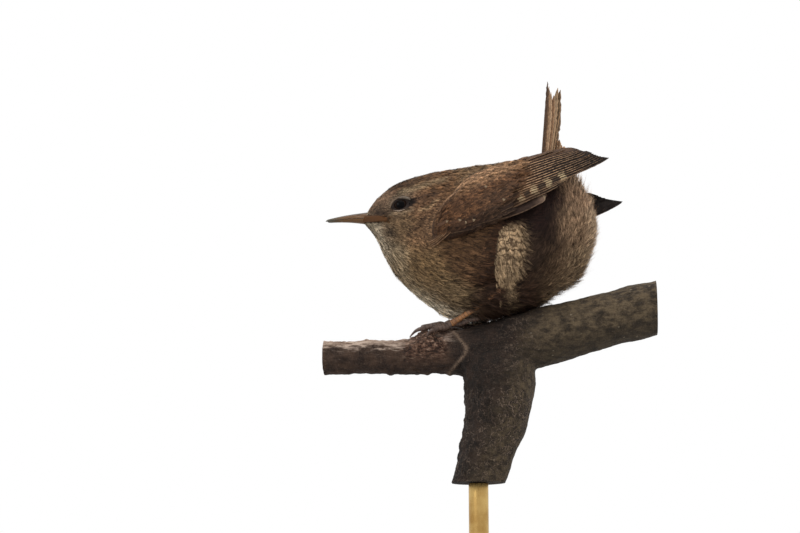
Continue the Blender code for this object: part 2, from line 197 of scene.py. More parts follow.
profile += [(GROOVE_RADIUS + 0.6, BASE_HEIGHT), (GROOVE_RADIUS + 0.25, BASE_HEIGHT - GROOVE_DEPTH)]
profile += [(GROOVE_RADIUS - 0.25, BASE_HEIGHT - GROOVE_DEPTH), (GROOVE_RADIUS - 0.6, BASE_HEIGHT)]
settle(turned("stand_base_turned", profile, 0.0, 144, wood), "stand_wood", "stand_base")

# Stand rod: one straight brushed brass rod that stands up from the base to the cut end of the stub.
ROD_RADIUS = 2.4
ROD_X = -2.0
ROD_LOW = 8.0
ROD_TOP = 43.9

brass, tree, shader = new_material("brushed brass", 0.3, Metallic=1.0)
place = object_place(tree)
brushed = grain(tree, stretched(tree, place, 1.0, 1.0, 0.02), 0.12, 2.0, 0.6)
tarnish = grain(tree, place, 6.0, 4.0, 0.6)
tone = blend(tree, ease(tree, tarnish, 0.35, 0.7), paint(196, 164, 104), paint(164, 128, 74))
tree.links.new(tone, shader.inputs["Base Color"])
tree.links.new(ease(tree, brushed, 0.25, 0.75, 0.22, 0.42), shader.inputs["Roughness"])
tree.links.new(bump(tree, brushed, 0.02, 0.35), shader.inputs["Normal"])
profile = rounded(ROD_RADIUS, ROD_LOW, 0.2, 3, True) + rounded(ROD_RADIUS, ROD_TOP, 0.2, 3, False)
settle(turned("stand_rod_brushed", profile, ROD_X, 64, brass), "stand_brass", "stand_rod")

# Perch: a cut length of forked branch with its bark on. The arm under the head is rough and flaking,
# a collar runs round the fork, and the thicker arm is smoother, with small pores. Both arms and the
# stub are sawn off square. It sits on the rod.
LIMB = (
    (-46.0, 75.3, 4.2),
    (-40.0, 75.3, 4.2),
    (-28.0, 75.2, 4.3),
    (-19.0, 75.2, 4.6),
    (-13.0, 75.9, 5.3),
    (-5.0, 76.2, 5.9),
    (4.0, 77.2, 6.9),
    (14.0, 79.6, 7.3),
    (28.0, 83.0, 6.9),
    (42.0, 86.3, 6.8),
    (48.0, 87.7, 6.8),
)
STUB = (
    (2.6, 75.0, 8.4),
    (3.4, 68.0, 9.0),
    (2.6, 60.0, 7.8),
    (0.2, 52.0, 6.9),
    (-2.0, 44.0, 6.5),
    (-3.6, 38.0, 6.4),
)
SAWN = (((-40.0, 0, 75.3), (-1, 0, 0)), ((42.0, 0, 87.0), (1, 0, 0)), ((-2.0, 0, 44.0), (0, 0, -1)))
BARK_GRID = 0.42
BARK_ROUGH = 0.6
COLLAR_X = -4.6
COLLAR_HEIGHT = 76.0
CRACK_X = -10.2
FLAKY_X = (-19.5, -9.5)


def along(rows, share):
    """A row of values read from a smooth curve through rows, at this share of the way along it."""
    spot = min(max(share, 0.0), 1.0) * (len(rows) - 1)
    first = min(int(spot), len(rows) - 2)
    t = spot - first
    before, here, there, after = (
        np.array(rows[min(max(first + step, 0), len(rows) - 1)], float) for step in (-1, 0, 1, 2)
    )
    bend = 3 * (here - there) + after - before
    return here + 0.5 * t * (there - before + t * (2 * before - 5 * here + 4 * there - after + t * bend))


def tube(path, radii, sides, twist=0.0):
    """Points and faces of a closed tube along a path, its ends shut by flat faces."""
    path = [Vector(point) for point in path]
    across = Vector((0, 1, 0))
    points = []
    for index, centre in enumerate(path):
        run = (path[min(index + 1, len(path) - 1)] - path[max(index - 1, 0)]).normalized()
        across = (across - run * across.dot(run)).normalized()
        up = run.cross(across)
        for side in range(sides):
            angle = math.tau * side / sides + twist
            points.append(centre + (math.cos(angle) * across + math.sin(angle) * up) * float(radii[index]))
    faces = sheet_faces(len(path), sides, closed=True)
    faces.append(tuple(range(sides)))
    faces.append(tuple(range(len(points) - sides, len(points))))
    return points, faces


def write_fields(mesh, fields):
    """Stores named values on a mesh's points: colours, vectors or single numbers."""
    for name, field in fields.items():
        field = np.asarray(field, np.float32)
        if name == "plumage":
            made = mesh.attributes.new(name, "FLOAT_COLOR", "POINT")
            made.data.foreach_set("color", np.hstack((field, np.ones((len(field), 1)))).astype(np.float32).ravel())
        elif field.ndim == 2:
            made = mesh.attributes.new(name, "FLOAT_VECTOR", "POINT")
            made.data.foreach_set("vector", field.ravel())
        else:
            made = mesh.attributes.new(name, "FLOAT", "POINT")
            made.data.foreach_set("value", field)


bark, tree, shader = new_material("bark", 0.85, Specular_IOR_Level=0.3)
place = object_place(tree)
upside, flaky, ridge, smooth_arm, rough_arm = (
    put(tree, "ShaderNodeAttribute", attribute_name=name).outputs["Fac"]
    for name in ("upside", "flaky", "ridge", "smooth_arm", "rough_arm")
)
drawn = stretched(tree, place, 0.22, 1.0, 1.0)
coarse = grain(tree, place, 3.2, 5.0, 0.62)
streaks = grain(tree, drawn, 0.9, 5.0, 0.65)
fine = grain(tree, place, 0.45, 4.0, 0.65)
# Painted light: the rough arm is painted pale on top and dark underneath, as if lit from above, by how far each spot
# faces up.
high = calc(tree, "ADD", upside, calc(tree, "MULTIPLY", calc(tree, "SUBTRACT", streaks, 0.5), 1.6))
shaded_low_tone = blend(tree, ease(tree, coarse, 0.36, 0.66), paint(44, 33, 28), paint(70, 54, 44))
lit_top_tone = blend(tree, ease(tree, streaks, 0.32, 0.66), paint(106, 83, 68), paint(184, 164, 148))
left_tone = blend(tree, ease(tree, high, 0.25, 0.8), shaded_low_tone, lit_top_tone)
# Painted shade: the middle of the branch, under the bird, is painted very dark.
shaded_middle_tone = blend(tree, ease(tree, coarse, 0.34, 0.68), paint(23, 17, 14), paint(46, 35, 29))
mottled = grain(tree, stretched(tree, place, 0.6, 1.0, 1.0), 1.5, 5.0, 0.7)
right_tone = blend(tree, ease(tree, mottled, 0.34, 0.68), paint(42, 35, 27), paint(98, 84, 65))
# Painted shade: the underside of the smooth arm is painted darker.
right_tone = blend(tree, ease(tree, high, -0.1, -0.75, 0.0, 0.6), right_tone, paint(48, 42, 34))
tone = blend(tree, rough_arm, shaded_middle_tone, left_tone)
tone = blend(tree, smooth_arm, tone, right_tone)
specks = grain(tree, place, 0.28, 3.0, 0.8)
tone = blend(tree, ease(tree, specks, 0.54, 0.7, 0.0, 0.4), tone, paint(124, 106, 90))
tone = blend(tree, ease(tree, specks, 0.46, 0.32, 0.0, 0.65), tone, paint(30, 23, 20))
chips = grain(tree, stretched(tree, place, 0.4, 1.0, 1.0), 0.55, 4.0, 0.75)
plates = ease(tree, chips, 0.4, 0.54)
flake_tone = blend(tree, ease(tree, chips, 0.54, 0.68), paint(108, 78, 62), paint(176, 150, 130))
flake_tone = blend(tree, plates, paint(40, 26, 22), flake_tone)
tone = blend(tree, calc(tree, "MULTIPLY", flaky, 0.85), tone, flake_tone)
tone = blend(tree, calc(tree, "MULTIPLY", ridge, ease(tree, fine, 0.35, 0.6, 0.1, 0.75)), tone, paint(138, 116, 98))
scaly = put(tree, "ShaderNodeAttribute", attribute_name="scaly").outputs["Fac"]
off_line = calc(tree, "ABSOLUTE", calc(tree, "SUBTRACT", grain(tree, place, 2.4, 3.0, 0.6), 0.5))
scales = calc(tree, "MULTIPLY", ease(tree, off_line, 0.022, 0.004), scaly)
tone = blend(tree, calc(tree, "MULTIPLY", scales, 0.28), tone, paint(140, 120, 104))
under_scales = calc(tree, "MULTIPLY", ease(tree, off_line, 0.05, 0.02), scaly)
tone = blend(tree, calc(tree, "MULTIPLY", calc(tree, "SUBTRACT", under_scales, scales), 0.5), tone, paint(26, 20, 18))
pore = put(
    tree, "ShaderNodeTexVoronoi", {"Vector": stretched(tree, place, 0.6, 1.0, 1.0), "Scale": 1 / (2.2 * MM)}
).outputs[0]
pores = calc(tree, "MULTIPLY", ease(tree, pore, 0.1, 0.05), smooth_arm)
tone = blend(tree, calc(tree, "MULTIPLY", pores, 0.5), tone, paint(150, 136, 116))
height = calc(tree, "MULTIPLY_ADD", streaks, 0.5, calc(tree, "MULTIPLY", fine, 0.7))
height = calc(tree, "MULTIPLY_ADD", calc(tree, "MULTIPLY", plates, flaky), 0.5, height)
tree.links.new(tone, shader.inputs["Base Color"])
tree.links.new(ease(tree, fine, 0.3, 0.7, 0.75, 0.95), shader.inputs["Roughness"])
tree.links.new(bump(tree, height, 0.4, 1.0), shader.inputs["Normal"])

sawn, tree, shader = new_material("sawn wood", 0.75)
place = object_place(tree)
parts = put(tree, "ShaderNodeSeparateXYZ", {0: place}).outputs
to_axis = calc(tree, "SUBTRACT", parts["Z"], ease(tree, parts["X"], -40 * MM, 42 * MM, 75.3 * MM, 87 * MM))
across = put(tree, "ShaderNodeCombineXYZ", {0: parts["Y"], 1: to_axis}).outputs[0]
ring_height = put(tree, "ShaderNodeVectorMath", {0: across}, operation="LENGTH").outputs["Value"]
wave = calc(tree, "SINE", calc(tree, "MULTIPLY", ring_height, math.tau / (0.7 * MM)))
wave = calc(tree, "ADD", wave, grain(tree, place, 1.2, 3.0))
tone = blend(tree, ease(tree, wave, -1.0, 1.8), paint(150, 124, 92), paint(192, 168, 132))
tree.links.new(tone, shader.inputs["Base Color"])
tree.links.new(bump(tree, grain(tree, place, 0.3, 2.0), 0.08, 0.6), shader.inputs["Normal"])

points = []
faces = []
for rows, steps in ((LIMB, 60), (STUB, 30)):
    line = [along(rows, step / steps) for step in range(steps + 1)]
    made, sides = tube([(x, 0, z) for x, z, _ in line], [row[2] for row in line], 48)
    faces += [tuple(index + len(points) for index in face) for face in sides]
    points += made
perch = new_piece("perch_bark", points, faces, bark)
grid = perch.modifiers.new("one surface", "REMESH")
grid.mode = "VOXEL"
grid.voxel_size = BARK_GRID * MM
soft = perch.modifiers.new("fillet", "SMOOTH")
soft.factor = 0.6
soft.iterations = 12
bpy.context.view_layer.update()
mesh = bpy.data.meshes.new_from_object(perch.evaluated_get(bpy.context.evaluated_depsgraph_get()))
perch.modifiers.clear()
perch.data = mesh
corners = np.empty(len(mesh.vertices) * 3)
mesh.vertices.foreach_get("co", corners)
corners = corners.reshape(-1, 3) / MM
outward = np.empty(len(mesh.vertices) * 3)
mesh.vertices.foreach_get("normal", outward)
outward = outward.reshape(-1, 3)
# How far each spot faces up; the bark's material uses it to paint the top lighter and the underside darker, as painted
# light.
marks = {"upside": outward[:, 2].copy()}
x_place, y_place, z_place = corners.T
in_limb = z_place > 67
marks["smooth_arm"] = 1 / (1 + np.exp(-(x_place - 9.5 - 0.35 * (z_place - 76)) / 1.6))
marks["rough_arm"] = np.where(in_limb, 1 / (1 + np.exp((x_place + 7.5) / 1.0)), 0)
collar_x = COLLAR_X - 0.15 * (z_place - COLLAR_HEIGHT) ** 2 + 0.3 * np.sin(z_place * 1.1)
marks["ridge"] = np.exp(-(((x_place - collar_x) / 0.5) ** 2)) * in_limb * (y_place < 2.5)
marks["scaly"] = np.clip(1.3 * np.exp(-(((x_place - 8.5) / 4.2) ** 2)), 0, 1) * (z_place < 84) + (z_place < 66)
crack_x = CRACK_X + 0.5 * (COLLAR_HEIGHT + 1 - z_place) - 0.06 * (z_place - COLLAR_HEIGHT) ** 2
crack = np.exp(-(((x_place - crack_x) / 0.28) ** 2)) * (np.abs(z_place - COLLAR_HEIGHT - 2) < 3.2) * in_limb
near_flakes = 1 / (1 + np.exp(-(x_place - FLAKY_X[0]) / 0.7)) / (1 + np.exp((x_place - FLAKY_X[1]) / 0.5))
marks["flaky"] = near_flakes * np.clip(outward[:, 2] * 1.1 + 0.75, 0, 1) * in_limb
hump = np.exp(-(((x_place + 14.2) / 2.6) ** 2)) * np.clip(outward[:, 2], 0, 1) * in_limb
for index, (corner, out) in enumerate(zip(corners, outward)):
    spot = Vector(corner)
    smooth_arm = marks["smooth_arm"][index]
    drawn = Vector((spot.x * 0.4, spot.y, spot.z)) if spot.z > 68 else Vector((spot.x, spot.y, spot.z * 0.5))
    lump = noise.noise(spot * 0.16)
    fold = 1 - abs(noise.noise(drawn * 0.75)) * 2
    flake = max(noise.noise(drawn * 1.5 + Vector((7, 3, 1))), -0.15)
    knob = max(noise.noise(spot * 0.33 + Vector((2, 9, 4))) - 0.34, 0) * 2.2
    rise = 0.8 * lump + (0.42 - 0.3 * smooth_arm) * (fold - 0.6) + (0.6 - 0.42 * smooth_arm) * flake
    rise += (1 - smooth_arm) * knob
    loose = marks["flaky"][index]
    if loose > 0.02:
        rise += loose * 1.5 * max(noise.noise(Vector((spot.x * 0.7, spot.y * 1.5, spot.z * 1.5)) * 1.1), -0.2)
    rise = BARK_ROUGH * rise + 0.25 * marks["ridge"][index] - 0.75 * crack[index] + 0.8 * hump[index]
    corners[index] += out * (rise - 0.2)
mesh.vertices.foreach_set("co", (corners * MM).ravel())
write_fields(mesh, marks)
work = bmesh.new()
work.from_mesh(mesh)
for spot, way in SAWN:
    everything = work.verts[:] + work.edges[:] + work.faces[:]
    cut = bmesh.ops.bisect_plane(
        work, geom=everything, plane_co=Vector(spot) * MM, plane_no=way, clear_outer=True
    )
    rim = [part for part in cut["geom_cut"] if isinstance(part, bmesh.types.BMEdge)]
    for face in bmesh.ops.edgeloop_fill(work, edges=rim)["faces"]:
        face.material_index = 1
        if face.normal.dot(Vector(way)) < 0:
            face.normal_flip()
        for edge in face.edges:
            edge.smooth = False
bmesh.ops.triangulate(work, faces=[face for face in work.faces if len(face.verts) > 4])
work.to_mesh(mesh)
work.free()
mesh.materials.clear()
mesh.materials.append(bark)
mesh.materials.append(sawn)
mesh.shade_smooth()
settle(perch, "bark", "perch")

# Skin: one closed skin over the whole body, from the bill's root to the vent, with both thighs, the
# lids round the eyes and the bare gape beside the bill. It lies inside the body's outline by the depth
# of the coat. It also holds what the coat needs to know: which way it lies, how long and how loose it
# is, and its colour and markings by named tracts.
BODY = (
    (-29.4, 112.2, -30.4, 109.3, 1.6),
    (-26.6, 115.8, -27.9, 106.2, 4.7),
    (-21.6, 119.4, -25.0, 100.9, 7.7),
    (-14.5, 121.6, -21.6, 95.0, 9.6),
    (-6.5, 122.9, -15.4, 88.9, 12.8),
    (1.5, 123.8, -7.6, 85.7, 15.0),
    (9.5, 124.5, 3.4, 86.3, 15.2),
    (17.0, 124.4, 14.5, 88.8, 13.6),
    (23.5, 121.6, 22.8, 92.2, 11.0),
    (27.3, 114.8, 26.7, 98.6, 7.6),
    (28.9, 107.8, 28.7, 104.6, 2.4),
)
PEAR = 0.18
SKIN_ROWS = 300
SKIN_SIDES = 240
BILL_ROOT = np.array((-30.0, 0.0, 110.5))
TAIL_ROOT = np.array((16.5, 0.0, 125.0))
# Each tract: where its middle is (x, y to either side, z), how far it reaches, its colour, the length
# of its feathers, how steeply they stand (degrees) and how barred it is.
TRACTS = {
    "forehead": (-25.8, 3.0, 114.2, 2.2, (136, 109, 87), 1.5, 10, 0.0),
    "crown": (-21.8, 2.0, 118.4, 3.0, (78, 57, 41), 2.0, 8, 0.0),
    "hind crown": (-16.5, 3.0, 120.0, 3.0, (92, 69, 49), 2.4, 8, 0.0),
    "nape": (-11.5, 6.0, 118.4, 3.4, (105, 76, 52), 3.0, 8, 0.0),
    "mantle": (-3.5, 5.0, 121.6, 4.2, (126, 99, 71), 3.8, 8, 0.1),
    "back": (7.0, 3.0, 123.8, 5.0, (112, 84, 58), 4.4, 8, 0.2),
    "rump": (19.0, 5.0, 122.0, 4.0, (136, 108, 80), 4.8, 20, 0.2),
    "lores": (-26.6, 4.8, 111.4, 1.7, (92, 75, 60), 0.9, 8, 0.0),
    "eyelid feathers": (-20.6, 7.8, 112.6, 2.0, (112, 94, 76), 0.9, 6, 0.0),
    "cheek": (-20.6, 8.6, 107.2, 2.8, (111, 89, 66), 1.9, 12, 0.0),
    "ear coverts": (-15.6, 9.8, 111.0, 2.8, (109, 81, 59), 2.3, 9, 0.0),
    "malar": (-24.0, 7.0, 105.0, 2.0, (112, 95, 76), 1.6, 13, 0.0),
    "chin": (-29.0, 1.5, 107.8, 1.8, (150, 136, 114), 1.2, 12, 0.0),
    "throat": (-25.8, 2.5, 103.0, 3.0, (192, 175, 150), 2.8, 19, 0.0),
    "lower throat": (-22.4, 4.0, 98.4, 3.4, (146, 127, 101), 3.4, 18, 0.0),
    "side of neck": (-14.5, 11.2, 104.6, 3.2, (118, 90, 66), 2.8, 10, 0.0),
    "breast": (-15.0, 9.4, 95.6, 4.0, (114, 91, 64), 3.4, 9, 0.0),
    "breast front": (-17.6, 3.0, 92.6, 3.8, (136, 116, 88), 3.6, 10, 0.0),
    "lower breast": (-11.0, 7.0, 90.0, 4.0, (118, 98, 73), 4.0, 11, 0.1),
    "side of breast": (-5.0, 14.2, 98.0, 4.0, (94, 70, 50), 3.8, 9, 0.0),
    "flank": (1.5, 14.4, 95.4, 4.4, (56, 38, 28), 4.4, 10, 0.05),
    "belly": (-1.5, 4.5, 86.2, 3.8, (60, 45, 35), 5.6, 28, 0.1),
    # The two tracts at the front of the lower breast are painted rim light: near white along its lower edge.
    "painted rim light": (-15.6, 0.0, 89.6, 3.9, (240, 226, 200), 4.8, 12, 0.0),
    "painted rim light below": (-10.6, 0.0, 87.0, 3.7, (236, 220, 194), 5.4, 17, 0.0),
    "behind the shank": (3.0, 8.6, 87.4, 3.2, (44, 32, 27), 5.4, 26, 0.1),
    "belly side": (4.0, 9.5, 89.4, 3.6, (62, 46, 36), 5.4, 24, 0.1),
    # The next three tracts, below the wing and in the flank's hollow, are dark feathers painted darker still with the
    # wing's shade.
    "dark and shaded under the wing": (14.5, 13.5, 104.5, 4.4, (38, 26, 23), 4.8, 18, 0.15),
    "high dark and shaded under the wing": (17.0, 12.4, 110.5, 3.4, (40, 27, 24), 4.8, 18, 0.1),
    "shaded hollow of the flank": (13.0, 11.6, 95.0, 3.8, (56, 44, 36), 5.0, 20, 0.3),
    "side of the vent": (22.0, 10.4, 104.0, 3.4, (140, 114, 90), 3.4, 32, 0.3),
    "upper vent": (23.5, 8.6, 112.0, 3.4, (152, 123, 98), 3.6, 34, 0.3),
    "vent": (27.0, 4.0, 105.0, 3.6, (172, 146, 118), 3.4, 34, 0.35),
    "under the tail": (25.0, 3.5, 117.5, 3.4, (164, 138, 112), 5.6, 34, 0.4),
    "lower vent": (21.0, 4.5, 92.6, 3.8, (158, 134, 106), 4.2, 25, 0.6),
    "lower flank": (17.5, 8.6, 92.6, 3.4, (100, 80, 62), 5.0, 22, 0.6),
}
# Lines of colour on the head (x, y to either side, z), how wide they are, their colour and strength.
HEAD_LINES = {
    "supercilium": (
        ((-20.9, 6.3, 115.5), (-18.9, 6.7, 116.0), (-16.4, 6.6, 116.8), (-13.5, 6.4, 117.9), (-10.5, 6.8, 118.6)),
        0.9, (156, 136, 106), 0.5,
    ),
    "eye stripe": (
        ((-18.4, 8.2, 112.5), (-16.7, 8.4, 113.1), (-14.4, 8.8, 114.0), (-12.2, 9.0, 114.3)), 0.8, (58, 42, 32), 0.75
    ),
    "streak over the ear": (((-15.9, 8.7, 110.8), (-13.8, 9.1, 111.2), (-12.6, 9.2, 112.0)), 0.4, (48, 34, 25), 0.85),
    "pale streak": (((-16.2, 8.8, 110.0), (-13.4, 9.2, 110.6), (-12.0, 9.3, 111.9)), 0.4, (166, 136, 102), 0.7),
    "rear of the ear": (((-14.4, 9.3, 108.3), (-16.4, 9.2, 106.1), (-18.9, 8.8, 104.2)), 0.5, (50, 36, 27), 0.8),
    "below the ear": (((-12.7, 9.6, 109.2), (-12.9, 9.8, 106.8)), 0.45, (66, 47, 33), 0.7),
    "lores": (((-24.4, 6.9, 109.7), (-21.8, 7.6, 109.1)), 1.1, (84, 68, 55), 0.5),
    "dark lores": (((-26.6, 5.4, 110.6), (-24.8, 6.6, 110.0), (-22.8, 7.2, 110.9)), 0.62, (58, 45, 38), 0.75),
    "under the eye": (((-23.4, 7.4, 109.9), (-20.6, 8.6, 109.6), (-17.9, 9.0, 110.6)), 0.4, (168, 146, 118), 0.35),
    "malar spot": (((-23.8, 7.4, 105.4), (-22.9, 7.9, 104.9)), 0.8, (34, 25, 22), 0.8),
}
GAPE = (
    (-31.0, 0.9, 110.2), (-29.4, 2.4, 109.9), (-28.2, 3.8, 109.5), (-26.5, 5.6, 109.1), (-25.1, 6.8, 108.8), (-24.0, 7.5, 108.4)
)
GAPE_HALF_WIDTH = 0.85
GAPE_COLOUR = (84, 54, 27)
# Thighs: the middle line of the tuft that hides each upper leg (x, z), and how far it reaches.
THIGH_LINE = ((6.9, 105.4), (6.8, 100.4), (6.0, 95.0), (5.2, 90.4), (4.4, 87.2))
THIGH_HALF_WIDTH = 3.45
THIGH_BULGE = 1.3
FLAT_DEPTH = 0.07
BELLY_FLUFF = 0.85
RIGHT_THIGH_DROP = 4.2
# Eyes: the ball and the opening between the lids, which is longer towards the back.
EYE_CENTRE = (-20.2, 5.75, 111.95)
EYE_RADIUS = 2.3
LID_RADIUS = 2.46
LID_FRONT = 1.72
LID_BACK = 2.0
LID_HEIGHT = 1.3
LID_TILT = math.radians(14)


def smooth(value):
    value = np.clip(value, 0.0, 1.0)
    return value * value * (3 - 2 * value)


def unit(vectors):
    return vectors / np.maximum(np.linalg.norm(vectors, axis=-1, keepdims=True), 1e-9)


def line_distance(places, line):
    """How far each place is from a line through points, and how far along the line the nearest is."""
    best = np.full(places.shape[:-1], 1e9)
    spot = np.zeros(places.shape[:-1])
    for index, (start, end) in enumerate(zip(line, line[1:])):
        start = np.array(start)
        run = np.array(end) - start
        share = np.clip((places - start) @ run / (run @ run), 0, 1)
        gap = np.linalg.norm(places - start - share[..., None] * run, axis=-1)
        spot = np.where(gap < best, (index + share) / (len(line) - 1), spot)
        best = np.minimum(best, gap)
    return best, spot


def body_surface(rows, sides):
    """Points of the body out to the feather tips, and the way out from each."""
    shares = np.linspace(0, 1, rows)
    top_x, top_z, low_x, low_z, wide = np.array([along(BODY, share) for share in shares]).T[..., None]
    angle = np.linspace(-math.pi, math.pi, sides, endpoint=False)
    rise = np.cos(angle)
    x = (top_x + low_x) / 2 + (top_x - low_x) / 2 * rise
    y = np.sin(angle) * wide * (1 - PEAR * rise)
    z = (top_z + low_z) / 2 + (top_z - low_z) / 2 * rise
    places = np.stack((x, y, z), axis=-1)
    around = np.roll(places, -1, axis=1) - np.roll(places, 1, axis=1)
    return places, unit(np.cross(np.gradient(places, axis=0), around)), shares, angle


def folded(places):
    """The same places with both sides of the bird laid on one."""
    return places * np.array((1, 0, 1)) + np.abs(places) * np.array((0, 1, 0))


def opening(places, side):
    """Where a place is in the eye's opening: 1 is on the lids' edge. Also the place along and up it."""
    centre = np.array(EYE_CENTRE) * (1, side, 1)
    away = places - centre
    back = away[..., 0] * math.cos(LID_TILT) + away[..., 2] * math.sin(LID_TILT)
    up = away[..., 2] * math.cos(LID_TILT) - away[..., 0] * math.sin(LID_TILT)
    reach = np.where(back > 0, LID_BACK, LID_FRONT)
    ring = np.sqrt((back / reach) ** 2 + (up / LID_HEIGHT) ** 2)
    return np.where(away[..., 1] * side > -1.0, ring, 9.0), back, up


def tract_values(places):
    """For each place: colour, length, steepness and barring, blended from the tracts."""
    total = np.zeros(places.shape[:-1])
    values = np.zeros(places.shape[:-1] + (6,))
    for x, y, z, reach, colour, *others in TRACTS.values():
        gap = np.linalg.norm(folded(places) - (x, y, z), axis=-1)
        weight = np.exp(-((gap / reach) ** 2)) + 1e-6 / (1 + gap ** 4)
        row = np.array(paint(*colour)[:3] + tuple(others))
        values += weight[..., None] * row
        total += weight
    return values / total[..., None]


def thigh_share(places, side):
    """How far inside the thigh's tuft a place is, from 0 at its edge to 1 in its middle."""
    line = np.array(THIGH_LINE)[::-1]
    heights = line[:, 1].copy()
    if side > 0:
        heights -= RIGHT_THIGH_DROP * np.linspace(0, 1, len(line)) ** 2
    share = (places[..., 2] - heights[0]) / (heights[-1] - heights[0])
    middle = np.interp(places[..., 2], heights, line[:, 0])
    half = THIGH_HALF_WIDTH * np.sin(math.pi * (0.12 + 0.66 * np.clip(share, 0, 1))) ** 0.8
    across = 1 - ((places[..., 0] - middle) / half) ** 2
    ends = smooth((share + 0.05) / 0.15) * smooth((1.08 - share) / 0.2)
    return np.clip(across, 0, 1) * ends * (places[..., 1] * side > 2)


# Where the folded wings lie: the bend of the left wing, its axes (along, across, out) and its dome.
# The right wing droops more. The skin rises to meet the padded arms, so it needs their shape.
WING_BEND = np.array((-11.6, -13.6, 102.4))
WING_AXES = np.array(((0.907, 0.095, 0.411), (-0.41, 0.432, 0.803), (-0.101, -0.897, 0.431)))
WING_CREST = ((0, 5, 10, 20, 25, 30, 35, 40, 45, 50), (3.2, 4.5, 4.8, 4.9, 4.8, 4.1, 3.3, 2.3, 1.1, -0.1))
RIGHT_WING_DROOP = math.radians(9.8)
RIGHT_WING_SHIFT = np.array((1.0, 0.0, 0.6))
RIGHT_WING_FOLD = 0.75
WING_CLEAR = 0.5
WING_PAD = (
    # along the wing, its lower edge and its upper edge
    (0.0, -0.9, 0.4), (1.6, -3.0, 3.2), (4.5, -4.1, 5.9), (8.0, -4.6, 7.8), (12.0, -4.85, 9.3),
    (16.0, -5.1, 10.2), (20.5, -5.0, 10.0), (25.0, -4.4, 9.4), (29.0, -3.6, 8.6),
)
PAD_ROWS = 120
PAD_COLUMNS = 80
COAT_END = ((-5.0, -3.0, 0.0, 4.0, 9.5), (15.0, 19.0, 23.5, 26.0, 26.5))

body_tree = BVHTree.FromPolygons(
    [Vector(point) for point in body_surface(90, 72)[0].reshape(-1, 3)], sheet_faces(90, 72, closed=True)
)


def wing_place(along_wing, up_wing, lift, side):
    """Points of a folded wing from millimetres along it, across it and above its domed face."""
    below = np.where(up_wing < 2, 0.024, 0.018)
    crest = np.interp(along_wing, *WING_CREST) - below * (up_wing - 2) ** 2
    if side > 0:
        inwards = np.clip(up_wing - 0.5, 0, None) * smooth((along_wing - 20) / 20)
        along_wing = along_wing - RIGHT_WING_FOLD * inwards

    def raised(height):
        return WING_BEND + np.stack((along_wing, up_wing, height), axis=-1) @ WING_AXES

    places = raised(crest + lift)
    if side < 0:
        return places
    cosine, sine = math.cos(RIGHT_WING_DROOP), math.sin(RIGHT_WING_DROOP)
    turn = np.array(((cosine, 0, -sine), (0, -1, 0), (sine, 0, cosine)))
    corner = WING_BEND * (1, 0, 1)
    places = (places - corner) @ turn + corner + RIGHT_WING_SHIFT
    under = (raised(crest - 1.9) - corner) @ turn + corner + RIGHT_WING_SHIFT
    push = []
    for point in under.reshape(-1, 3):
        hit = body_tree.ray_cast(Vector((point[0], 60, point[2])), Vector((0, -1, 0)))[0]
        push.append(max(hit.y + WING_CLEAR - point[1], 0) if hit is not None else 0)
    places[..., 1] += np.reshape(push, places.shape[:-1])
    return places


def wing_pad(side):
    """The upper face of a wing's padded arm, how far along and across it each point is, and its coat."""
    station, low, high = np.array([along(WING_PAD, share) for share in np.linspace(0, 1, PAD_ROWS)]).T[..., None]
    across = np.linspace(0, 1, PAD_COLUMNS)[None, :]
    height = low * (1 - across) + high * across
    station = station + 0 * across
    end = np.interp(height, *COAT_END) + 1.5 * np.sin(height * 2.3) + 1.0 * np.sin(height * 5.1 + 1)
    sink = (2.0 - 1.3 * smooth((station - 8) / 6)) * (1 - smooth((high - height) / 3.6))
    sink = sink + 0.9 * (1 - smooth((height - low) / 1.0))
    sink = sink + 2.0 * (1 - smooth((station - 0.35 * height) / 4.5)) + 0.3 * smooth((station - 12) / 8)
    sink = np.minimum(sink, 2.3) + 1.2 * smooth((station - end + 1.5) / 3.5)
    return wing_place(station, height, 0.05 - sink, side), station, height, smooth((end - station) / 4.0)


outer, outward, shares, angle = body_surface(SKIN_ROWS, SKIN_SIDES)
values = tract_values(outer)
depth = values[..., 3] * (FLAT_DEPTH + np.sin(np.radians(values[..., 4])))
at_belly = smooth((92 - outer[..., 2]) / 5) * smooth((outer[..., 0] + 13) / 6) * smooth((19 - outer[..., 0]) / 6)
at_belly = at_belly * smooth((12.5 - np.abs(outer[..., 1])) / 4)
at_front = np.exp(-((np.linalg.norm(outer - (-9.8, 0.0, 86.6), axis=-1) / 5.5) ** 2))
at_throat = np.exp(-((np.linalg.norm(outer - (-24.8, 0.0, 100.5), axis=-1) / 6.0) ** 2))
depth = depth * (1 - BELLY_FLUFF * at_belly) * (1 - 0.45 * at_throat) * (1 - 0.95 * at_front)
gape_gap, gape_share = line_distance(folded(outer), GAPE)
gape = smooth((GAPE_HALF_WIDTH * (1.15 - 0.35 * gape_share) - gape_gap) / 0.25 + 0.5)
skin = outer - outward * (depth * (1 - gape) - 0.02 * gape)[..., None]
thigh = thigh_share(outer, -1) + thigh_share(outer, 1)
skin += outward * (THIGH_BULGE * np.sqrt(thigh))[..., None]
cover = 1 - smooth(gape * 1.6)
MEET_REACH = 4.5
rise = np.zeros(thigh.shape)
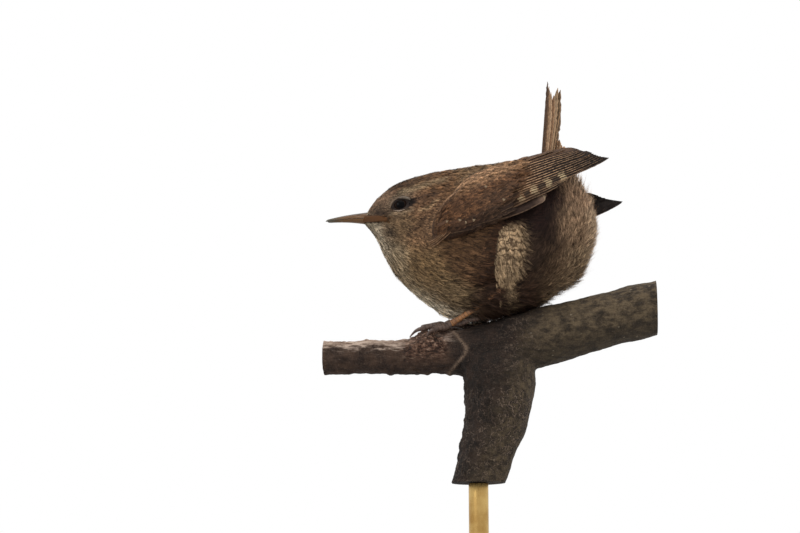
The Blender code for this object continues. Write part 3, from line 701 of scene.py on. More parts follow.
for side in (-1, 1):
    top, station, height, _ = wing_pad(side)
    pad_tree = BVHTree.FromPolygons([Vector(point) for point in top.reshape(-1, 3)], sheet_faces(PAD_ROWS, PAD_COLUMNS))
    near_wing = (outer[..., 0] > -18) & (outer[..., 0] < 26) & (outer[..., 2] > 96) & (outer[..., 1] * side > 0)
    for row, column in zip(*np.nonzero(near_wing)):
        point, _, face, gap = pad_tree.find_nearest(Vector(skin[row, column]))
        pad_row, pad_column = divmod(face, PAD_COLUMNS - 1)
        above = (np.array(point) - skin[row, column]) @ outward[row, column]
        aside = math.sqrt(max(gap ** 2 - above ** 2, 0))
        upper = smooth((height[pad_row, pad_column] + 1.0) / 3) + smooth((2.5 - station[pad_row, pad_column]) / 2)
        fall = 1 - smooth((aside - 0.3) / MEET_REACH)
        rise[row, column] = max(above - 0.45, 0) * fall * min(upper, 1) * smooth((27 - station[pad_row, pad_column]) / 5)
        inside = 0.12 < pad_column / PAD_COLUMNS < 0.86 and station[pad_row, pad_column] > 4 and aside < 0.4
        cover[row, column] *= 0.0 if inside else 1.0
for _ in range(14):
    rise[1:-1] = (rise[1:-1] * 2 + rise[:-2] + rise[2:] + np.roll(rise, 1, 1)[1:-1] + np.roll(rise, -1, 1)[1:-1]) / 6
skin += outward * rise[..., None]
lids = np.zeros(thigh.shape)
for side in (-1, 1):
    centre = np.array(EYE_CENTRE) * (1, side, 1)
    ring, back, up = opening(skin, side)
    away = skin - centre
    reach = np.linalg.norm(away, axis=-1)
    near = smooth((2.3 - ring) / 1.0)
    wanted = reach * (1 - near) + np.maximum(reach, LID_RADIUS + 0.02) * near
    wanted = np.where(ring < 1.0, EYE_RADIUS - 0.45, wanted)
    skin = np.where((ring < 2.4)[..., None], centre + unit(away) * wanted[..., None], skin)
    cover *= smooth((ring - 1.22) / 0.15)
    almond = np.sqrt((back / np.where(back > 0, LID_BACK, LID_FRONT) / 1.55) ** 2 + (up / LID_HEIGHT / 1.2) ** 2)
    lids = np.maximum(lids, smooth((1.15 - almond) / 0.2) * (ring < 5))
around = np.roll(skin, -1, axis=1) - np.roll(skin, 1, axis=1)
skin_out = unit(np.cross(np.gradient(skin, axis=0), around))

# Which way the coat lies: away from the bill, then back along the body, and at the rear up to the tail.
x_place = outer[..., 0]
from_bill = unit(outer - BILL_ROOT)
backwards = unit(np.stack((np.ones_like(x_place), 0 * x_place, -0.12 - 0.1 * (x_place < 0)), axis=-1))
to_tail = unit(TAIL_ROOT - outer)
front = smooth((-6 - x_place) / 12)[..., None]
rear = smooth((x_place - 4 - 0.35 * (outer[..., 2] - 100)) / 13)[..., None]
lie = from_bill * front + backwards * (1 - front)
lie = lie * (1 - rear) + to_tail * rear
hang = np.sqrt(thigh)[..., None]
lie = lie * (1 - hang) + np.array((0.12, 0, -1.0)) * hang
lie = unit(lie - outward * (lie * outward).sum(-1, keepdims=True))

colour = values[..., :3].copy()
for line, width, shade, strength in HEAD_LINES.values():
    gap = line_distance(folded(outer) * (1, 0, 1), np.array(line) * (1, 0, 1))[0]
    share = (strength * np.exp(-((gap / width) ** 2)) * smooth((np.abs(outer[..., 1]) - 3.0) / 2.0))[..., None]
    colour = colour * (1 - share) + np.array(paint(*shade)[:3]) * share
bars = values[..., 5]
length = values[..., 3]
steep = np.radians(values[..., 4])
THIGH_COLOUR = paint(178, 150, 117)[:3]
share = smooth(thigh * 2.2)
# Painted light: the thigh's tuft is painted lighter at its top and darker towards its bottom, as light from above falls
# on it.
thigh_top_light = (0.76 + 0.3 * smooth((outer[..., 2] - 97) / 6))[..., None]
colour = colour * (1 - share[..., None]) + np.array(THIGH_COLOUR) * thigh_top_light * share[..., None]
bars = bars * (1 - share)
length = length * (1 - share) + 3.4 * share
steep = steep * (1 - share) + math.radians(12) * share
lid_colour = np.array(paint(28, 21, 19)[:3])
colour = colour * (1 - 0.92 * lids[..., None]) + lid_colour * 0.92 * lids[..., None]
loose = np.maximum(smooth((values[..., 4] - 11) / 12), 0.8 * share)
bare = smooth(gape * 1.4)[..., None]
colour = colour * (1 - bare) + np.array(paint(*GAPE_COLOUR)[:3]) * bare

skin_paint, tree, shader = new_material("skin", 0.6, Specular_IOR_Level=0.15)
place = object_place(tree)
plumage = put(tree, "ShaderNodeAttribute", attribute_name="plumage").outputs["Color"]
# Painted shade: where the coat grows, the skin under it is painted darker, so that gaps in the coat read as shadow.
coat_shade = put(tree, "ShaderNodeAttribute", attribute_name="cover").outputs["Fac"]
plumage = blend(tree, calc(tree, "MULTIPLY", coat_shade, 0.6), plumage, paint(28, 21, 18))
creases = grain(tree, place, 0.22, 3.0, 0.6)
tone = blend(tree, ease(tree, creases, 0.3, 0.7, 0.0, 0.3), plumage, paint(30, 22, 18))
tree.links.new(tone, shader.inputs["Base Color"])
tree.links.new(bump(tree, creases, 0.08, 0.8), shader.inputs["Normal"])

points = skin.reshape(-1, 3)
faces = sheet_faces(SKIN_ROWS, SKIN_SIDES, closed=True)
count = len(points)
points = np.vstack((points, skin[0].mean(0), skin[-1].mean(0) + (0.4, 0, 0)))
for column in range(SKIN_SIDES):
    after = (column + 1) % SKIN_SIDES
    last = (SKIN_ROWS - 1) * SKIN_SIDES
    faces.append((column, after, count))
    faces.append((last + after, last + column, count + 1))
fields = {
    "lie": np.vstack((lie.reshape(-1, 3), (0, 0, 1), (0, 0, 1))),
    "out": np.vstack((skin_out.reshape(-1, 3), (-1, 0, 0), (1, 0, 0))),
    "plumage": np.vstack((colour.reshape(-1, 3), colour[0, 0], colour[-1, 0])),
    "length": np.append(length, (0.5, 5.0)) * MM,
    "steep": np.append(steep, (0.1, 0.5)),
    "bars": np.append(bars, (0, 0)),
    "thigh": np.append(share, (0, 0)),
    "cover": np.append(cover, (0, 1)),
    "loose": np.append(loose, (0, 1)),
    "hanging": np.append(smooth((at_belly - 0.45) / 0.3) * (np.abs(outer[..., 1]) < 8.5), (0, 0)),
}
# Folds round each eye, each a soft cord: where it starts and ends (degrees, 90 is above the eye), how
# far out on the lids it lies, its thickness and its colour.
LID_FOLDS = (
    (0, 360, 1.0, 0.08, (34, 28, 27)),
    (14, 92, 1.38, 0.38, (112, 101, 89)),
    (70, 176, 1.46, 0.24, (120, 103, 87)),
    (34, 158, 1.78, 0.12, (100, 82, 66)),
    (210, 292, 1.3, 0.18, (156, 136, 118)),
    (-26, 16, 1.18, 0.2, (24, 18, 17)),
    (166, 196, 1.16, 0.16, (44, 35, 31)),
)
LID_STEPS = 56
LID_SIDES = 10
for side in (-1, 1):
    centre = np.array(EYE_CENTRE) * (1, side, 1)
    around_eye = np.abs(skin - centre).max(-1) < 5.5
    head_side = skin[around_eye & (skin[..., 1] * side > 3)]
    for first, last, ring, thick, shade in LID_FOLDS:
        whole = last - first == 360
        path = []
        for step in range(LID_STEPS):
            turn = math.radians(first + (last - first) * step / (LID_STEPS if whole else LID_STEPS - 1))
            back = math.cos(turn) * (LID_BACK if math.cos(turn) > 0 else LID_FRONT) * ring
            up = math.sin(turn) * LID_HEIGHT * ring
            ball = math.sqrt(max(LID_RADIUS ** 2 - back ** 2 - up ** 2, 0.2))
            x = back * math.cos(LID_TILT) - up * math.sin(LID_TILT)
            z = up * math.cos(LID_TILT) + back * math.sin(LID_TILT)
            gaps = (head_side[:, 0] - centre[0] - x) ** 2 + (head_side[:, 2] - centre[2] - z) ** 2
            face = abs(head_side[gaps.argmin(), 1]) - EYE_CENTRE[1] + 0.5 * thick
            path.append(centre + (x, side * (max(ball, face) if ring > 1.1 else ball), z))
        made = []
        for step in range(LID_STEPS):
            after = path[(step + 1) % LID_STEPS] if whole else path[min(step + 1, LID_STEPS - 1)]
            before = path[step - 1] if whole else path[max(step - 1, 0)]
            run = Vector(after - before).normalized()
            away = Vector(path[step] - centre).normalized()
            across = run.cross(away)
            radius = thick if whole else thick * (0.12 + 0.88 * math.sin(math.pi * step / (LID_STEPS - 1)) ** 0.6)
            for corner in range(LID_SIDES):
                turn = math.tau * corner / LID_SIDES
                made.append(Vector(path[step]) + radius * (math.cos(turn) * away + math.sin(turn) * across))
        start = len(points)
        faces += sheet_faces(LID_STEPS, LID_SIDES, closed=True, start=start)
        end = start + (LID_STEPS - 1) * LID_SIDES
        if whole:
            for corner in range(LID_SIDES):
                after = (corner + 1) % LID_SIDES
                faces.append((end + corner, end + after, start + after, start + corner))
        else:
            faces.append(tuple(range(start, start + LID_SIDES)))
            faces.append(tuple(range(end, end + LID_SIDES)))
        points = np.vstack((points, np.array(made)))
        extra = len(made)
        fields["plumage"] = np.vstack((fields["plumage"], np.tile(paint(*shade)[:3], (extra, 1))))
        fields["lie"] = np.vstack((fields["lie"], np.tile((1.0, 0, 0), (extra, 1))))
        fields["out"] = np.vstack((fields["out"], np.tile((0.0, side, 0), (extra, 1))))
        for name in ("length", "steep", "bars", "thigh", "cover", "loose", "hanging"):
            fields[name] = np.append(fields[name], np.zeros(extra))


def lay_map(mesh, name, flat, wrap=False):
    """A UV map from a flat place for each point; wrap closes a map that goes once round."""
    corners = np.empty(len(mesh.loops), np.int32)
    mesh.loops.foreach_get("vertex_index", corners)
    spots = flat[corners]
    if wrap:
        starts = np.empty(len(mesh.polygons), np.int32)
        mesh.polygons.foreach_get("loop_start", starts)
        sizes = np.diff(np.append(starts, len(corners)))
        face = np.repeat(np.arange(len(starts)), sizes)
        highest = np.maximum.reduceat(spots[:, 0], starts)[face]
        spots[:, 0] += (spots[:, 0] < highest - 0.5)
    made = mesh.uv_layers.new(name=name)
    made.data.foreach_set("uv", spots.astype(np.float32).ravel())


skin_piece = new_piece("skin_of_the_body", points, faces, skin_paint)
write_fields(skin_piece.data, fields)
flat = np.zeros((len(points), 2))
grid_u, grid_v = np.meshgrid((angle / math.tau + 0.5) * 0.96 + 0.01, shares * 0.9 + 0.02)
flat[:count] = np.stack((grid_u, grid_v), axis=-1).reshape(-1, 2)
flat[count:] = (0.5, 0.005)
flat[count + 2:] = np.random.default_rng(4).uniform((0.02, 0.94), (0.98, 0.98), (len(points) - count - 2, 2))
lay_map(skin_piece.data, "OFBake", flat, wrap=True)
settle(
    skin_piece, "breast_feathers", "head", "neck", "breast", "trunk", "vent", "thigh_left", "thigh_right"
)

# Eyes: dark, wet balls, almost all pupil, with a thin dark brown iris. They sit in the lids.
eye_paint, tree, shader = new_material("eye", 0.08, Specular_IOR_Level=0.2, IOR=1.25)
place = object_place(tree)
for_side = put(tree, "ShaderNodeVectorMath", {0: place}, operation="ABSOLUTE").outputs[0]
gap = put(
    tree, "ShaderNodeVectorMath",
    {0: for_side, 1: (-EYE_CENTRE[0] * MM, (EYE_CENTRE[1] + EYE_RADIUS) * MM, EYE_CENTRE[2] * MM)},
    operation="DISTANCE",
).outputs["Value"]
iris = calc(tree, "MULTIPLY", ease(tree, gap, 1.0 * MM, 1.15 * MM), ease(tree, gap, 1.9 * MM, 1.5 * MM))
tone = blend(tree, iris, paint(9, 8, 9), paint(34, 24, 18))
tree.links.new(tone, shader.inputs["Base Color"])
for name, side in (("left", -1), ("right", 1)):
    work = bmesh.new()
    bmesh.ops.create_uvsphere(work, u_segments=48, v_segments=32, radius=EYE_RADIUS * MM)
    for corner in work.verts:
        corner.co = Vector((corner.co.x, corner.co.z * side, -corner.co.y * side))
        corner.co += Vector(EYE_CENTRE) * MM * 1.0
        corner.co.y += (side - 1) * EYE_CENTRE[1] * MM
    mesh = bpy.data.meshes.new("eye_ball_" + name)
    bmesh.ops.recalc_face_normals(work, faces=work.faces)
    work.to_mesh(mesh)
    work.free()
    mesh.shade_smooth()
    mesh.materials.append(eye_paint)
    piece = bpy.data.objects.new("eye_ball_" + name, mesh)
    bpy.context.scene.collection.objects.link(piece)
    settle(piece, "eye", "eye_" + name)

# Bill: two thin horn sheaths over bone, slender and a little down-curved, dark along the ridge and
# the tip and orange-brown below. The nostril is a slit near its root. The skin holds it.
BILL_TIP_X = -40.0
EDGE_Z = 110.2
BILL_ROWS = 44
BILL_ARC = 20
LOWER_SHORTFALL = 0.5
BILL_INSIDE = 2.2

horn, tree, shader = new_material("bill horn", 0.36, Specular_IOR_Level=0.35)
place = object_place(tree)
parts = put(tree, "ShaderNodeSeparateXYZ", {0: place}).outputs
wobble = calc(tree, "MULTIPLY", calc(tree, "SUBTRACT", grain(tree, place, 1.5), 0.5), 0.8 * MM)
high_up = put(tree, "ShaderNodeAttribute", attribute_name="high").outputs["Fac"]
ridge = ease(tree, calc(tree, "MULTIPLY_ADD", wobble, 150.0, high_up), 0.56, 0.86)
tip = ease(tree, calc(tree, "ADD", parts["X"], wobble), -34.5 * MM, -39.0 * MM)
tone = blend(tree, ridge, paint(96, 66, 34), paint(42, 36, 30))
tone = blend(tree, calc(tree, "MULTIPLY", tip, 0.85), tone, paint(68, 68, 56))
streaks = grain(tree, stretched(tree, place, 0.12, 1.0, 1.0), 0.3, 3.0)
tone = blend(tree, ease(tree, streaks, 0.35, 0.7, 0.0, 0.35), tone, paint(78, 54, 34))
tree.links.new(tone, shader.inputs["Base Color"])
tree.links.new(bump(tree, streaks, 0.03, 0.6), shader.inputs["Normal"])
for name, sign, tall, shortfall in (("upper", 1, 1.85, 0.0), ("lower", -1, 1.15, LOWER_SHORTFALL)):
    points = []
    high_up = []
    for row in range(BILL_ROWS + 1):
        share = row / BILL_ROWS
        root_x = BODY[0][0] + BILL_INSIDE - 0.35
        x = root_x + (BILL_TIP_X + shortfall - root_x) * share
        run = min(max((x - BODY[0][0]) / (BILL_TIP_X - BODY[0][0]), 0), 1)
        taper = 1 - 0.78 * run ** 0.85
        taper *= math.sqrt(max(1 - max((share - 0.93) / 0.07, 0) ** 2, 0.006))
        edge = EDGE_Z + 0.22 * math.sin(math.pi * run) - 0.27 * run * run + sign * 0.06
        for corner in range(BILL_ARC + 1):
            turn = math.pi * corner / BILL_ARC
            across = 1.45 * taper * math.cos(turn)
            rise = tall * taper * math.sin(turn) ** 0.8
            nostril = math.exp(-(((x + 31.3) / 0.75) ** 2 + ((rise - 0.72) / 0.2) ** 2))
            if sign > 0:
                across -= math.copysign(0.28 * nostril, across)
            points.append((x, across, edge + sign * rise))
            high_up.append(max(sign, 0) * math.sin(turn) ** 0.8)
    faces = sheet_faces(BILL_ROWS + 1, BILL_ARC + 1, closed=True)
    faces.append(tuple(range(BILL_ARC + 1)))
    faces.append(tuple(range(len(points) - BILL_ARC - 1, len(points))))
    piece = new_piece("bill_sheath_" + name, points, faces, horn)
    piece.data.set_sharp_from_angle(angle=math.radians(50))
    write_fields(piece.data, {"high": high_up})
    settle(piece, "bill_horn", "bill_" + name)

# Legs: bare shanks with a row of plates down the front, four toes each with soft pads, and curved
# claws of horn. The toes hold on to the perch; the shanks go up into the belly's feathers.
FEET = {
    "left": (
        (-8.2, 30.0),
        {"1": (1.6, 14.0, 1.0), "2": (-16.4, -14.0, 0.7), "3": (-18.6, 22.0, 0.9), "4": (-14.2, 50.0, 1.0)},
    ),
    "right": (
        (-3.4, -32.0),
        {"1": (2.2, -104.0, 1.2), "2": (-11.6, -4.0, 1.0), "3": (-13.6, -34.0, 1.5), "4": (-6.4, -102.0, 1.0)},
    ),
}
SHANK_TOPS = {"left": (4.4, -9.6, 89.7), "right": (6.4, 8.4, 89.6)}
SHANK_RADIUS = 0.64
FOOT_HEIGHT = 1.8
TOE_RADIUS = 0.68
CLAW_START = 0.7
TOE_SPREAD = 0.75
TOE_LIFT = 0.85


def on_bark(x, angle, height):
    """The point over the limb at this x, turned this angle from straight up, this high over the bark."""
    rows = LIMB[1:-1]
    share = 0.5
    for _ in range(40):
        share += (x - along(rows, share)[0]) / (rows[-1][0] - rows[0][0])
    axis_x, axis_z, radius = along(rows, share)
    turn = math.radians(angle)
    reach = radius + height
    return Vector((axis_x, -reach * math.sin(turn), axis_z + reach * math.cos(turn)))


leg_skin, tree, shader = new_material("leg skin", 0.45, Specular_IOR_Level=0.35)
place = object_place(tree)
run = put(tree, "ShaderNodeAttribute", attribute_name="run").outputs["Fac"]
plates = put(
    tree, "ShaderNodeMath", {0: calc(tree, "MULTIPLY", run, 1 / (0.9 * MM))}, operation="FRACT"
).outputs[0]
seam = calc(tree, "MULTIPLY", ease(tree, plates, 0.0, 0.14), ease(tree, plates, 1.0, 0.92))
blotch = grain(tree, place, 1.3, 3.0)
tone = blend(tree, ease(tree, blotch, 0.35, 0.68), paint(156, 110, 72), paint(124, 86, 60))
grey_toes = blend(tree, ease(tree, blotch, 0.35, 0.68), paint(98, 80, 70), paint(70, 55, 48))
tone = blend(tree, put(tree, "ShaderNodeAttribute", attribute_name="toe").outputs["Fac"], tone, grey_toes)
tone = blend(tree, seam, paint(58, 40, 33), tone)
tree.links.new(tone, shader.inputs["Base Color"])
scaled = calc(tree, "MULTIPLY_ADD", grain(tree, place, 0.25, 2.0), 0.4, seam)
tree.links.new(bump(tree, scaled, 0.1, 0.8), shader.inputs["Normal"])

claw_horn, tree, shader = new_material("claw horn", 0.35)
place = object_place(tree)
worn = grain(tree, place, 0.5, 3.0)
tone = blend(tree, ease(tree, worn, 0.35, 0.7), paint(62, 48, 42), paint(104, 82, 70))
tree.links.new(tone, shader.inputs["Base Color"])
tree.links.new(bump(tree, worn, 0.03, 0.5), shader.inputs["Normal"])


def limb_piece(name, path, radii, sides, material, slot, node):
    """A closed tube with rounded ends that knows how far along it each point is, in metres."""
    points, faces = tube(path, radii, sides)
    piece = new_piece(name, points, faces, material)
    steps = np.linalg.norm(np.diff(np.array([tuple(point) for point in path]), axis=0), axis=1)
    run = np.repeat(np.append(0, np.cumsum(steps)), sides) * MM
    write_fields(piece.data, {"run": run, "toe": np.full(len(run), float(node.startswith("toe")))})
    settle(piece, slot, node)


def eased_ends(share, start, end):
    """A radius factor that closes a tube roundly at its start and at its end."""
    near = min(share / start, 1.0) if start else 1.0
    far = min((1 - share) / end, 1.0) if end else 1.0
    return math.sqrt(max(1 - (1 - near) ** 2, 0.01)) * math.sqrt(max(1 - (1 - far) ** 2, 0.01))


for side, ((foot_x, foot_angle), toes) in FEET.items():
    foot = on_bark(foot_x, foot_angle, FOOT_HEIGHT)
    top = Vector(SHANK_TOPS[side])
    sag = Vector((0, 0, -0.25))
    path = []
    radii = []
    for step in range(41):
        share = step / 40
        path.append(foot.lerp(top, share) + sag * math.sin(math.pi * share))
        knob = 1 + 0.45 * math.exp(-((share / 0.09) ** 2))
        radii.append(SHANK_RADIUS * knob * eased_ends(share, 0.04, 0.03))
    limb_piece("leg_shank_" + side, path, radii, 20, leg_skin, "leg_skin", "shank_" + side)
    for toe, (tip_x, tip_angle, arch) in toes.items():
        for kind, first, last, steps in (("toe", 0.0, CLAW_START + 0.03, 36), ("claw", CLAW_START, 1.0, 20)):
            path = []
            radii = []
            for step in range(steps + 1):
                share = first + (last - first) * step / steps
                part = step / steps
                claw = max(0.0, (share - CLAW_START) / (1 - CLAW_START))
                x = foot_x + (tip_x - foot_x) * share
                angle = foot_angle + (tip_angle - foot_angle) * share ** TOE_SPREAD
                lift = TOE_LIFT + arch * math.sin(math.pi * share) + 0.35 * math.sin(math.pi * claw)
                lift += (FOOT_HEIGHT - TOE_LIFT) * (1 - smooth(share / 0.24)) - 0.75 * claw ** 2
                path.append(on_bark(x, angle, lift))
                if kind == "toe":
                    pads = 1 + 0.14 * math.cos(3 * math.tau * share) + 0.25 * (1 - share)
                    radii.append(TOE_RADIUS * pads * eased_ends(part, 0.06, 0.1))
                else:
                    radii.append((0.5 * (1 - part) ** 0.75 + 0.07) * eased_ends(part, 0.1, 0.04))
            name = "{}_{}_{}".format(kind, side, toe)
            if kind == "toe":
                limb_piece("leg_" + name, path, radii, 16, leg_skin, "leg_skin", name)
            else:
                limb_piece("leg_" + name, path, radii, 14, claw_horn, "claw", name)

# Wings: each is a padded arm under small coverts, with rows of greater coverts, ten primaries, six
# secondaries and three tertials, closed up like a fan. Each big feather is one thin curved vane with a
# shaft; its lower edge shows and its upper edge lies under the next. The right wing hangs lower.
VANE_THICKNESS = 0.08

def shade_mix(share, one, other):
    """Colours between two paints, by a share for each place."""
    share = np.asarray(share)[..., None]
    return np.array(paint(*one)[:3]) * (1 - share) + np.array(paint(*other)[:3]) * share


def closed_sheet(rows, columns):
    """Faces of a thin closed slab whose upper grid of points is followed by its lower one."""
    count = rows * columns
    faces = sheet_faces(rows, columns) + sheet_faces(rows, columns, start=count)
    rim = list(range(columns)) + [row * columns + columns - 1 for row in range(1, rows)]
    rim += [(rows - 1) * columns + column for column in range(columns - 2, -1, -1)]
    rim += [row * columns for row in range(rows - 2, 0, -1)]
    faces += [(here, there, there + count, here + count) for here, there in zip(rim, rim[1:] + rim[:1])]
    return faces


def make_vane(place, side, root, tip, seed, wide=3.4, inner=0.66, lift=0.0, rise=0.0, tilt=0.5, blunt=0.16, point=0.5,
              through=None, fray=0.1, look=None):
    """One feather from root to tip, as points, faces and values; place turns flat spots into real ones.

    inner is the share of its width above the shaft, tilt how far its hidden edge sinks, blunt how much
    of its length the tip takes and point how sharp that is, rise how much the tip is lifted over the root. through is a spot on its lower edge. look
    gives its colour, edge, spot and bars, each a number or a function of the spot.
    """
    luck = np.random.default_rng(seed)
    root = np.array(root, float)
    tip = np.array(tip, float)
    length = np.linalg.norm(tip - root)
    rows = int(8 + 1.15 * length)
    columns = 11 if length > 12 else 7
    run = np.linspace(0, 1, rows)[:, None]
    web = np.linspace(-1, 1, columns)[None, :]
    ahead = (tip - root) / length
    upward = np.array((-ahead[1], ahead[0]))
    ending = np.clip((run - 1 + blunt) / blunt, 0, 1)
    profile = (0.5 + 0.5 * smooth(run / 0.2)) * np.clip(1 - ending ** 2, 0.0004, 1) ** point
    ragged = 1 - fray * luck.uniform(0, 1, (rows, 2)) ** 3 * smooth((run - 0.3) / 0.5)
    profile = profile * np.where(web < 0, ragged[:, :1], ragged[:, 1:])
    shift = web * np.where(web < 0, wide * (1 - inner), wide * inner) * profile
    sweep = 0.0
    if through is not None:
        share = (np.array(through) - root) @ ahead / length
        off = (np.array(through) - root) @ upward + wide * (1 - inner)
        sweep = off / math.sin(math.pi * share)
    flat = root + ahead * length * run[..., None] + upward * (shift + sweep * np.sin(math.pi * run))[..., None]
    hidden = (shift + wide * (1 - inner)) / wide
    shaft = 0.05 * np.exp(-((web / 0.13) ** 2)) * (1 - 0.6 * run)
    ruffle = 0.05 * luck.normal(0, 1, (rows, 1)) * smooth((run - 0.6) / 0.4)
    top = lift + rise * run - tilt * hidden + shaft - 0.04 * web ** 2 + ruffle
    spots = (flat[..., 0], flat[..., 1])
    upper = place(*spots, top, side).reshape(-1, 3)
    lower = place(*spots, top - VANE_THICKNESS, side).reshape(-1, 3)
    values = {
        "run": run * length * MM + 0 * web,
        "web": web + 0 * run,
        "station": spots[0] * MM,
        "left": (1 - run) * length * MM + 0 * web,
        "luck": luck.uniform() + 0 * run * web,
    }
    for name in ("edge", "spot", "bars"):
        value = look.get(name, 0.0)
        values[name] = (value(*spots) if callable(value) else value) + 0 * run * web
    values = {name: np.tile(value.ravel(), 2) for name, value in values.items()}
    colour = look["colour"]
    colour = colour(*spots) if callable(colour) else shade_mix(0 * spots[0], colour, colour)
    values["plumage"] = np.vstack((colour.reshape(-1, 3), colour.reshape(-1, 3) * 1.4 + 0.022))
    return np.vstack((upper, lower)), closed_sheet(rows, columns), values


def join_vanes(name, vanes, material):
    """One piece from several vanes, with their values and a map that gives each vane its own strip."""
    faces = []
    flat = []
    start = 0
    for index, (part, part_faces, values) in enumerate(vanes):
        faces += [tuple(corner + start for corner in face) for face in part_faces]
        web = (values["web"] * 0.5 + 0.5) * 0.44
        web[len(part) // 2:] += 0.48
        along_vane = values["run"] / values["run"].max() * 0.96 + 0.02
        flat.append(np.stack((along_vane, (index + 0.04 + web) / len(vanes)), axis=-1))
        start += len(part)
    piece = new_piece(name, np.vstack([vane[0] for vane in vanes]), faces, material)
    write_fields(piece.data, {key: np.concatenate([vane[2][key] for vane in vanes]) for key in vanes[0][2]})
    lay_map(piece.data, "OFBake", np.vstack(flat))
    piece.data.set_sharp_from_angle(angle=math.radians(60))
    return piece


BAR_PITCH = 3.95
BAR_START = 22.7
vane_paint, tree, shader = new_material("flight feathers", 0.75, Specular_IOR_Level=0.14)
place = object_place(tree)
values = {}
for name in ("run", "web", "station", "left", "luck", "bars", "edge", "spot"):
    values[name] = put(tree, "ShaderNodeAttribute", attribute_name=name).outputs["Fac"]
plumage = put(tree, "ShaderNodeAttribute", attribute_name="plumage").outputs["Color"]
patchy = ease(tree, grain(tree, place, 1.1, 4.0, 0.6), 0.3, 0.7, 0.72, 1.25)
shade = calc(tree, "MULTIPLY", ease(tree, values["luck"], 0.0, 1.0, 0.8, 1.2), patchy)
# The inner web is darker: partly its own colour, partly painted shade under the next feather.
shade = calc(tree, "MULTIPLY", shade, ease(tree, values["web"], -0.45, 0.1, 1.0, 0.85))
grey = put(tree, "ShaderNodeCombineXYZ", {0: shade, 1: shade, 2: shade}).outputs[0]
tone = blend(tree, 1.0, plumage, grey, "MULTIPLY")
outer_web = ease(tree, values["web"], 0.05, -0.1)
slant = calc(tree, "MULTIPLY_ADD", grain(tree, place, 0.9, 2.0), 1.2 * MM, values["station"])
slant = calc(tree, "MULTIPLY_ADD", values["luck"], 0.6 * MM, slant)
fine_wave = calc(tree, "SINE", calc(tree, "MULTIPLY", slant, math.tau / (1.7 * MM)))
fine_bar = calc(tree, "MULTIPLY", ease(tree, fine_wave, 0.0, 0.9), calc(tree, "SUBTRACT", 1.0, values["bars"]))
tone = blend(tree, calc(tree, "MULTIPLY", fine_bar, 0.12), tone, paint(34, 24, 20))
rim = ease(tree, values["web"], -0.79, -0.88)
rim_noise = ease(tree, grain(tree, place, 0.7, 3.0), 0.35, 0.6, 0.25, 1.0)
rim_noise = calc(tree, "MULTIPLY", rim_noise, ease(tree, values["station"], 30 * MM, 42 * MM, 1.0, 0.45))
margin = calc(tree, "MULTIPLY", calc(tree, "MULTIPLY", rim, values["edge"]), rim_noise)
tone = blend(tree, margin, tone, paint(196, 156, 120))
groove_depth = ease(tree, values["station"], 23 * MM, 33 * MM, 0.35, 0.85)
groove = calc(tree, "MULTIPLY", ease(tree, values["web"], -0.3, -0.45), ease(tree, values["web"], -0.81, -0.71))
tone = blend(tree, calc(tree, "MULTIPLY", groove, calc(tree, "MULTIPLY", values["edge"], groove_depth)), tone, paint(30, 22, 19))
phase = calc(tree, "SUBTRACT", slant, (BAR_START - BAR_PITCH / 4 + 0.9) * MM)
wave = calc(tree, "SINE", calc(tree, "MULTIPLY", phase, math.tau / (BAR_PITCH * MM)))
bar_noise = ease(tree, grain(tree, place, 0.6, 2.0), 0.34, 0.5, 0.35, 1.0)
pale_bar = calc(tree, "MULTIPLY", ease(tree, wave, 0.1, 0.5), ease(tree, values["web"], -0.5, -0.66))
pale_bar = calc(tree, "MULTIPLY", calc(tree, "MULTIPLY", pale_bar, bar_noise), values["bars"])
dark_bar = calc(tree, "MULTIPLY", calc(tree, "MULTIPLY", ease(tree, wave, 0.1, -0.4), outer_web), values["bars"])
tone = blend(tree, calc(tree, "MULTIPLY", dark_bar, 0.9), tone, paint(46, 38, 32))
tone = blend(tree, calc(tree, "MULTIPLY", pale_bar, 0.85), tone, paint(176, 156, 122))
at_tip = calc(tree, "MULTIPLY", ease(tree, values["left"], 0.8 * MM, 0.5 * MM), values["spot"])
tone = blend(tree, calc(tree, "MULTIPLY", at_tip, 0.75), tone, paint(164, 144, 116))
tree.links.new(tone, shader.inputs["Base Color"])
barbs = calc(tree, "MULTIPLY_ADD", calc(tree, "ABSOLUTE", values["web"]), -0.9 * MM, values["run"])
barbs = calc(tree, "SINE", calc(tree, "MULTIPLY", barbs, math.tau / (0.16 * MM)))
ruffle = calc(tree, "MULTIPLY_ADD", grain(tree, place, 0.5, 3.0), 1.5, calc(tree, "MULTIPLY", barbs, 0.35))
tree.links.new(bump(tree, ruffle, 0.06, 0.8), shader.inputs["Normal"])

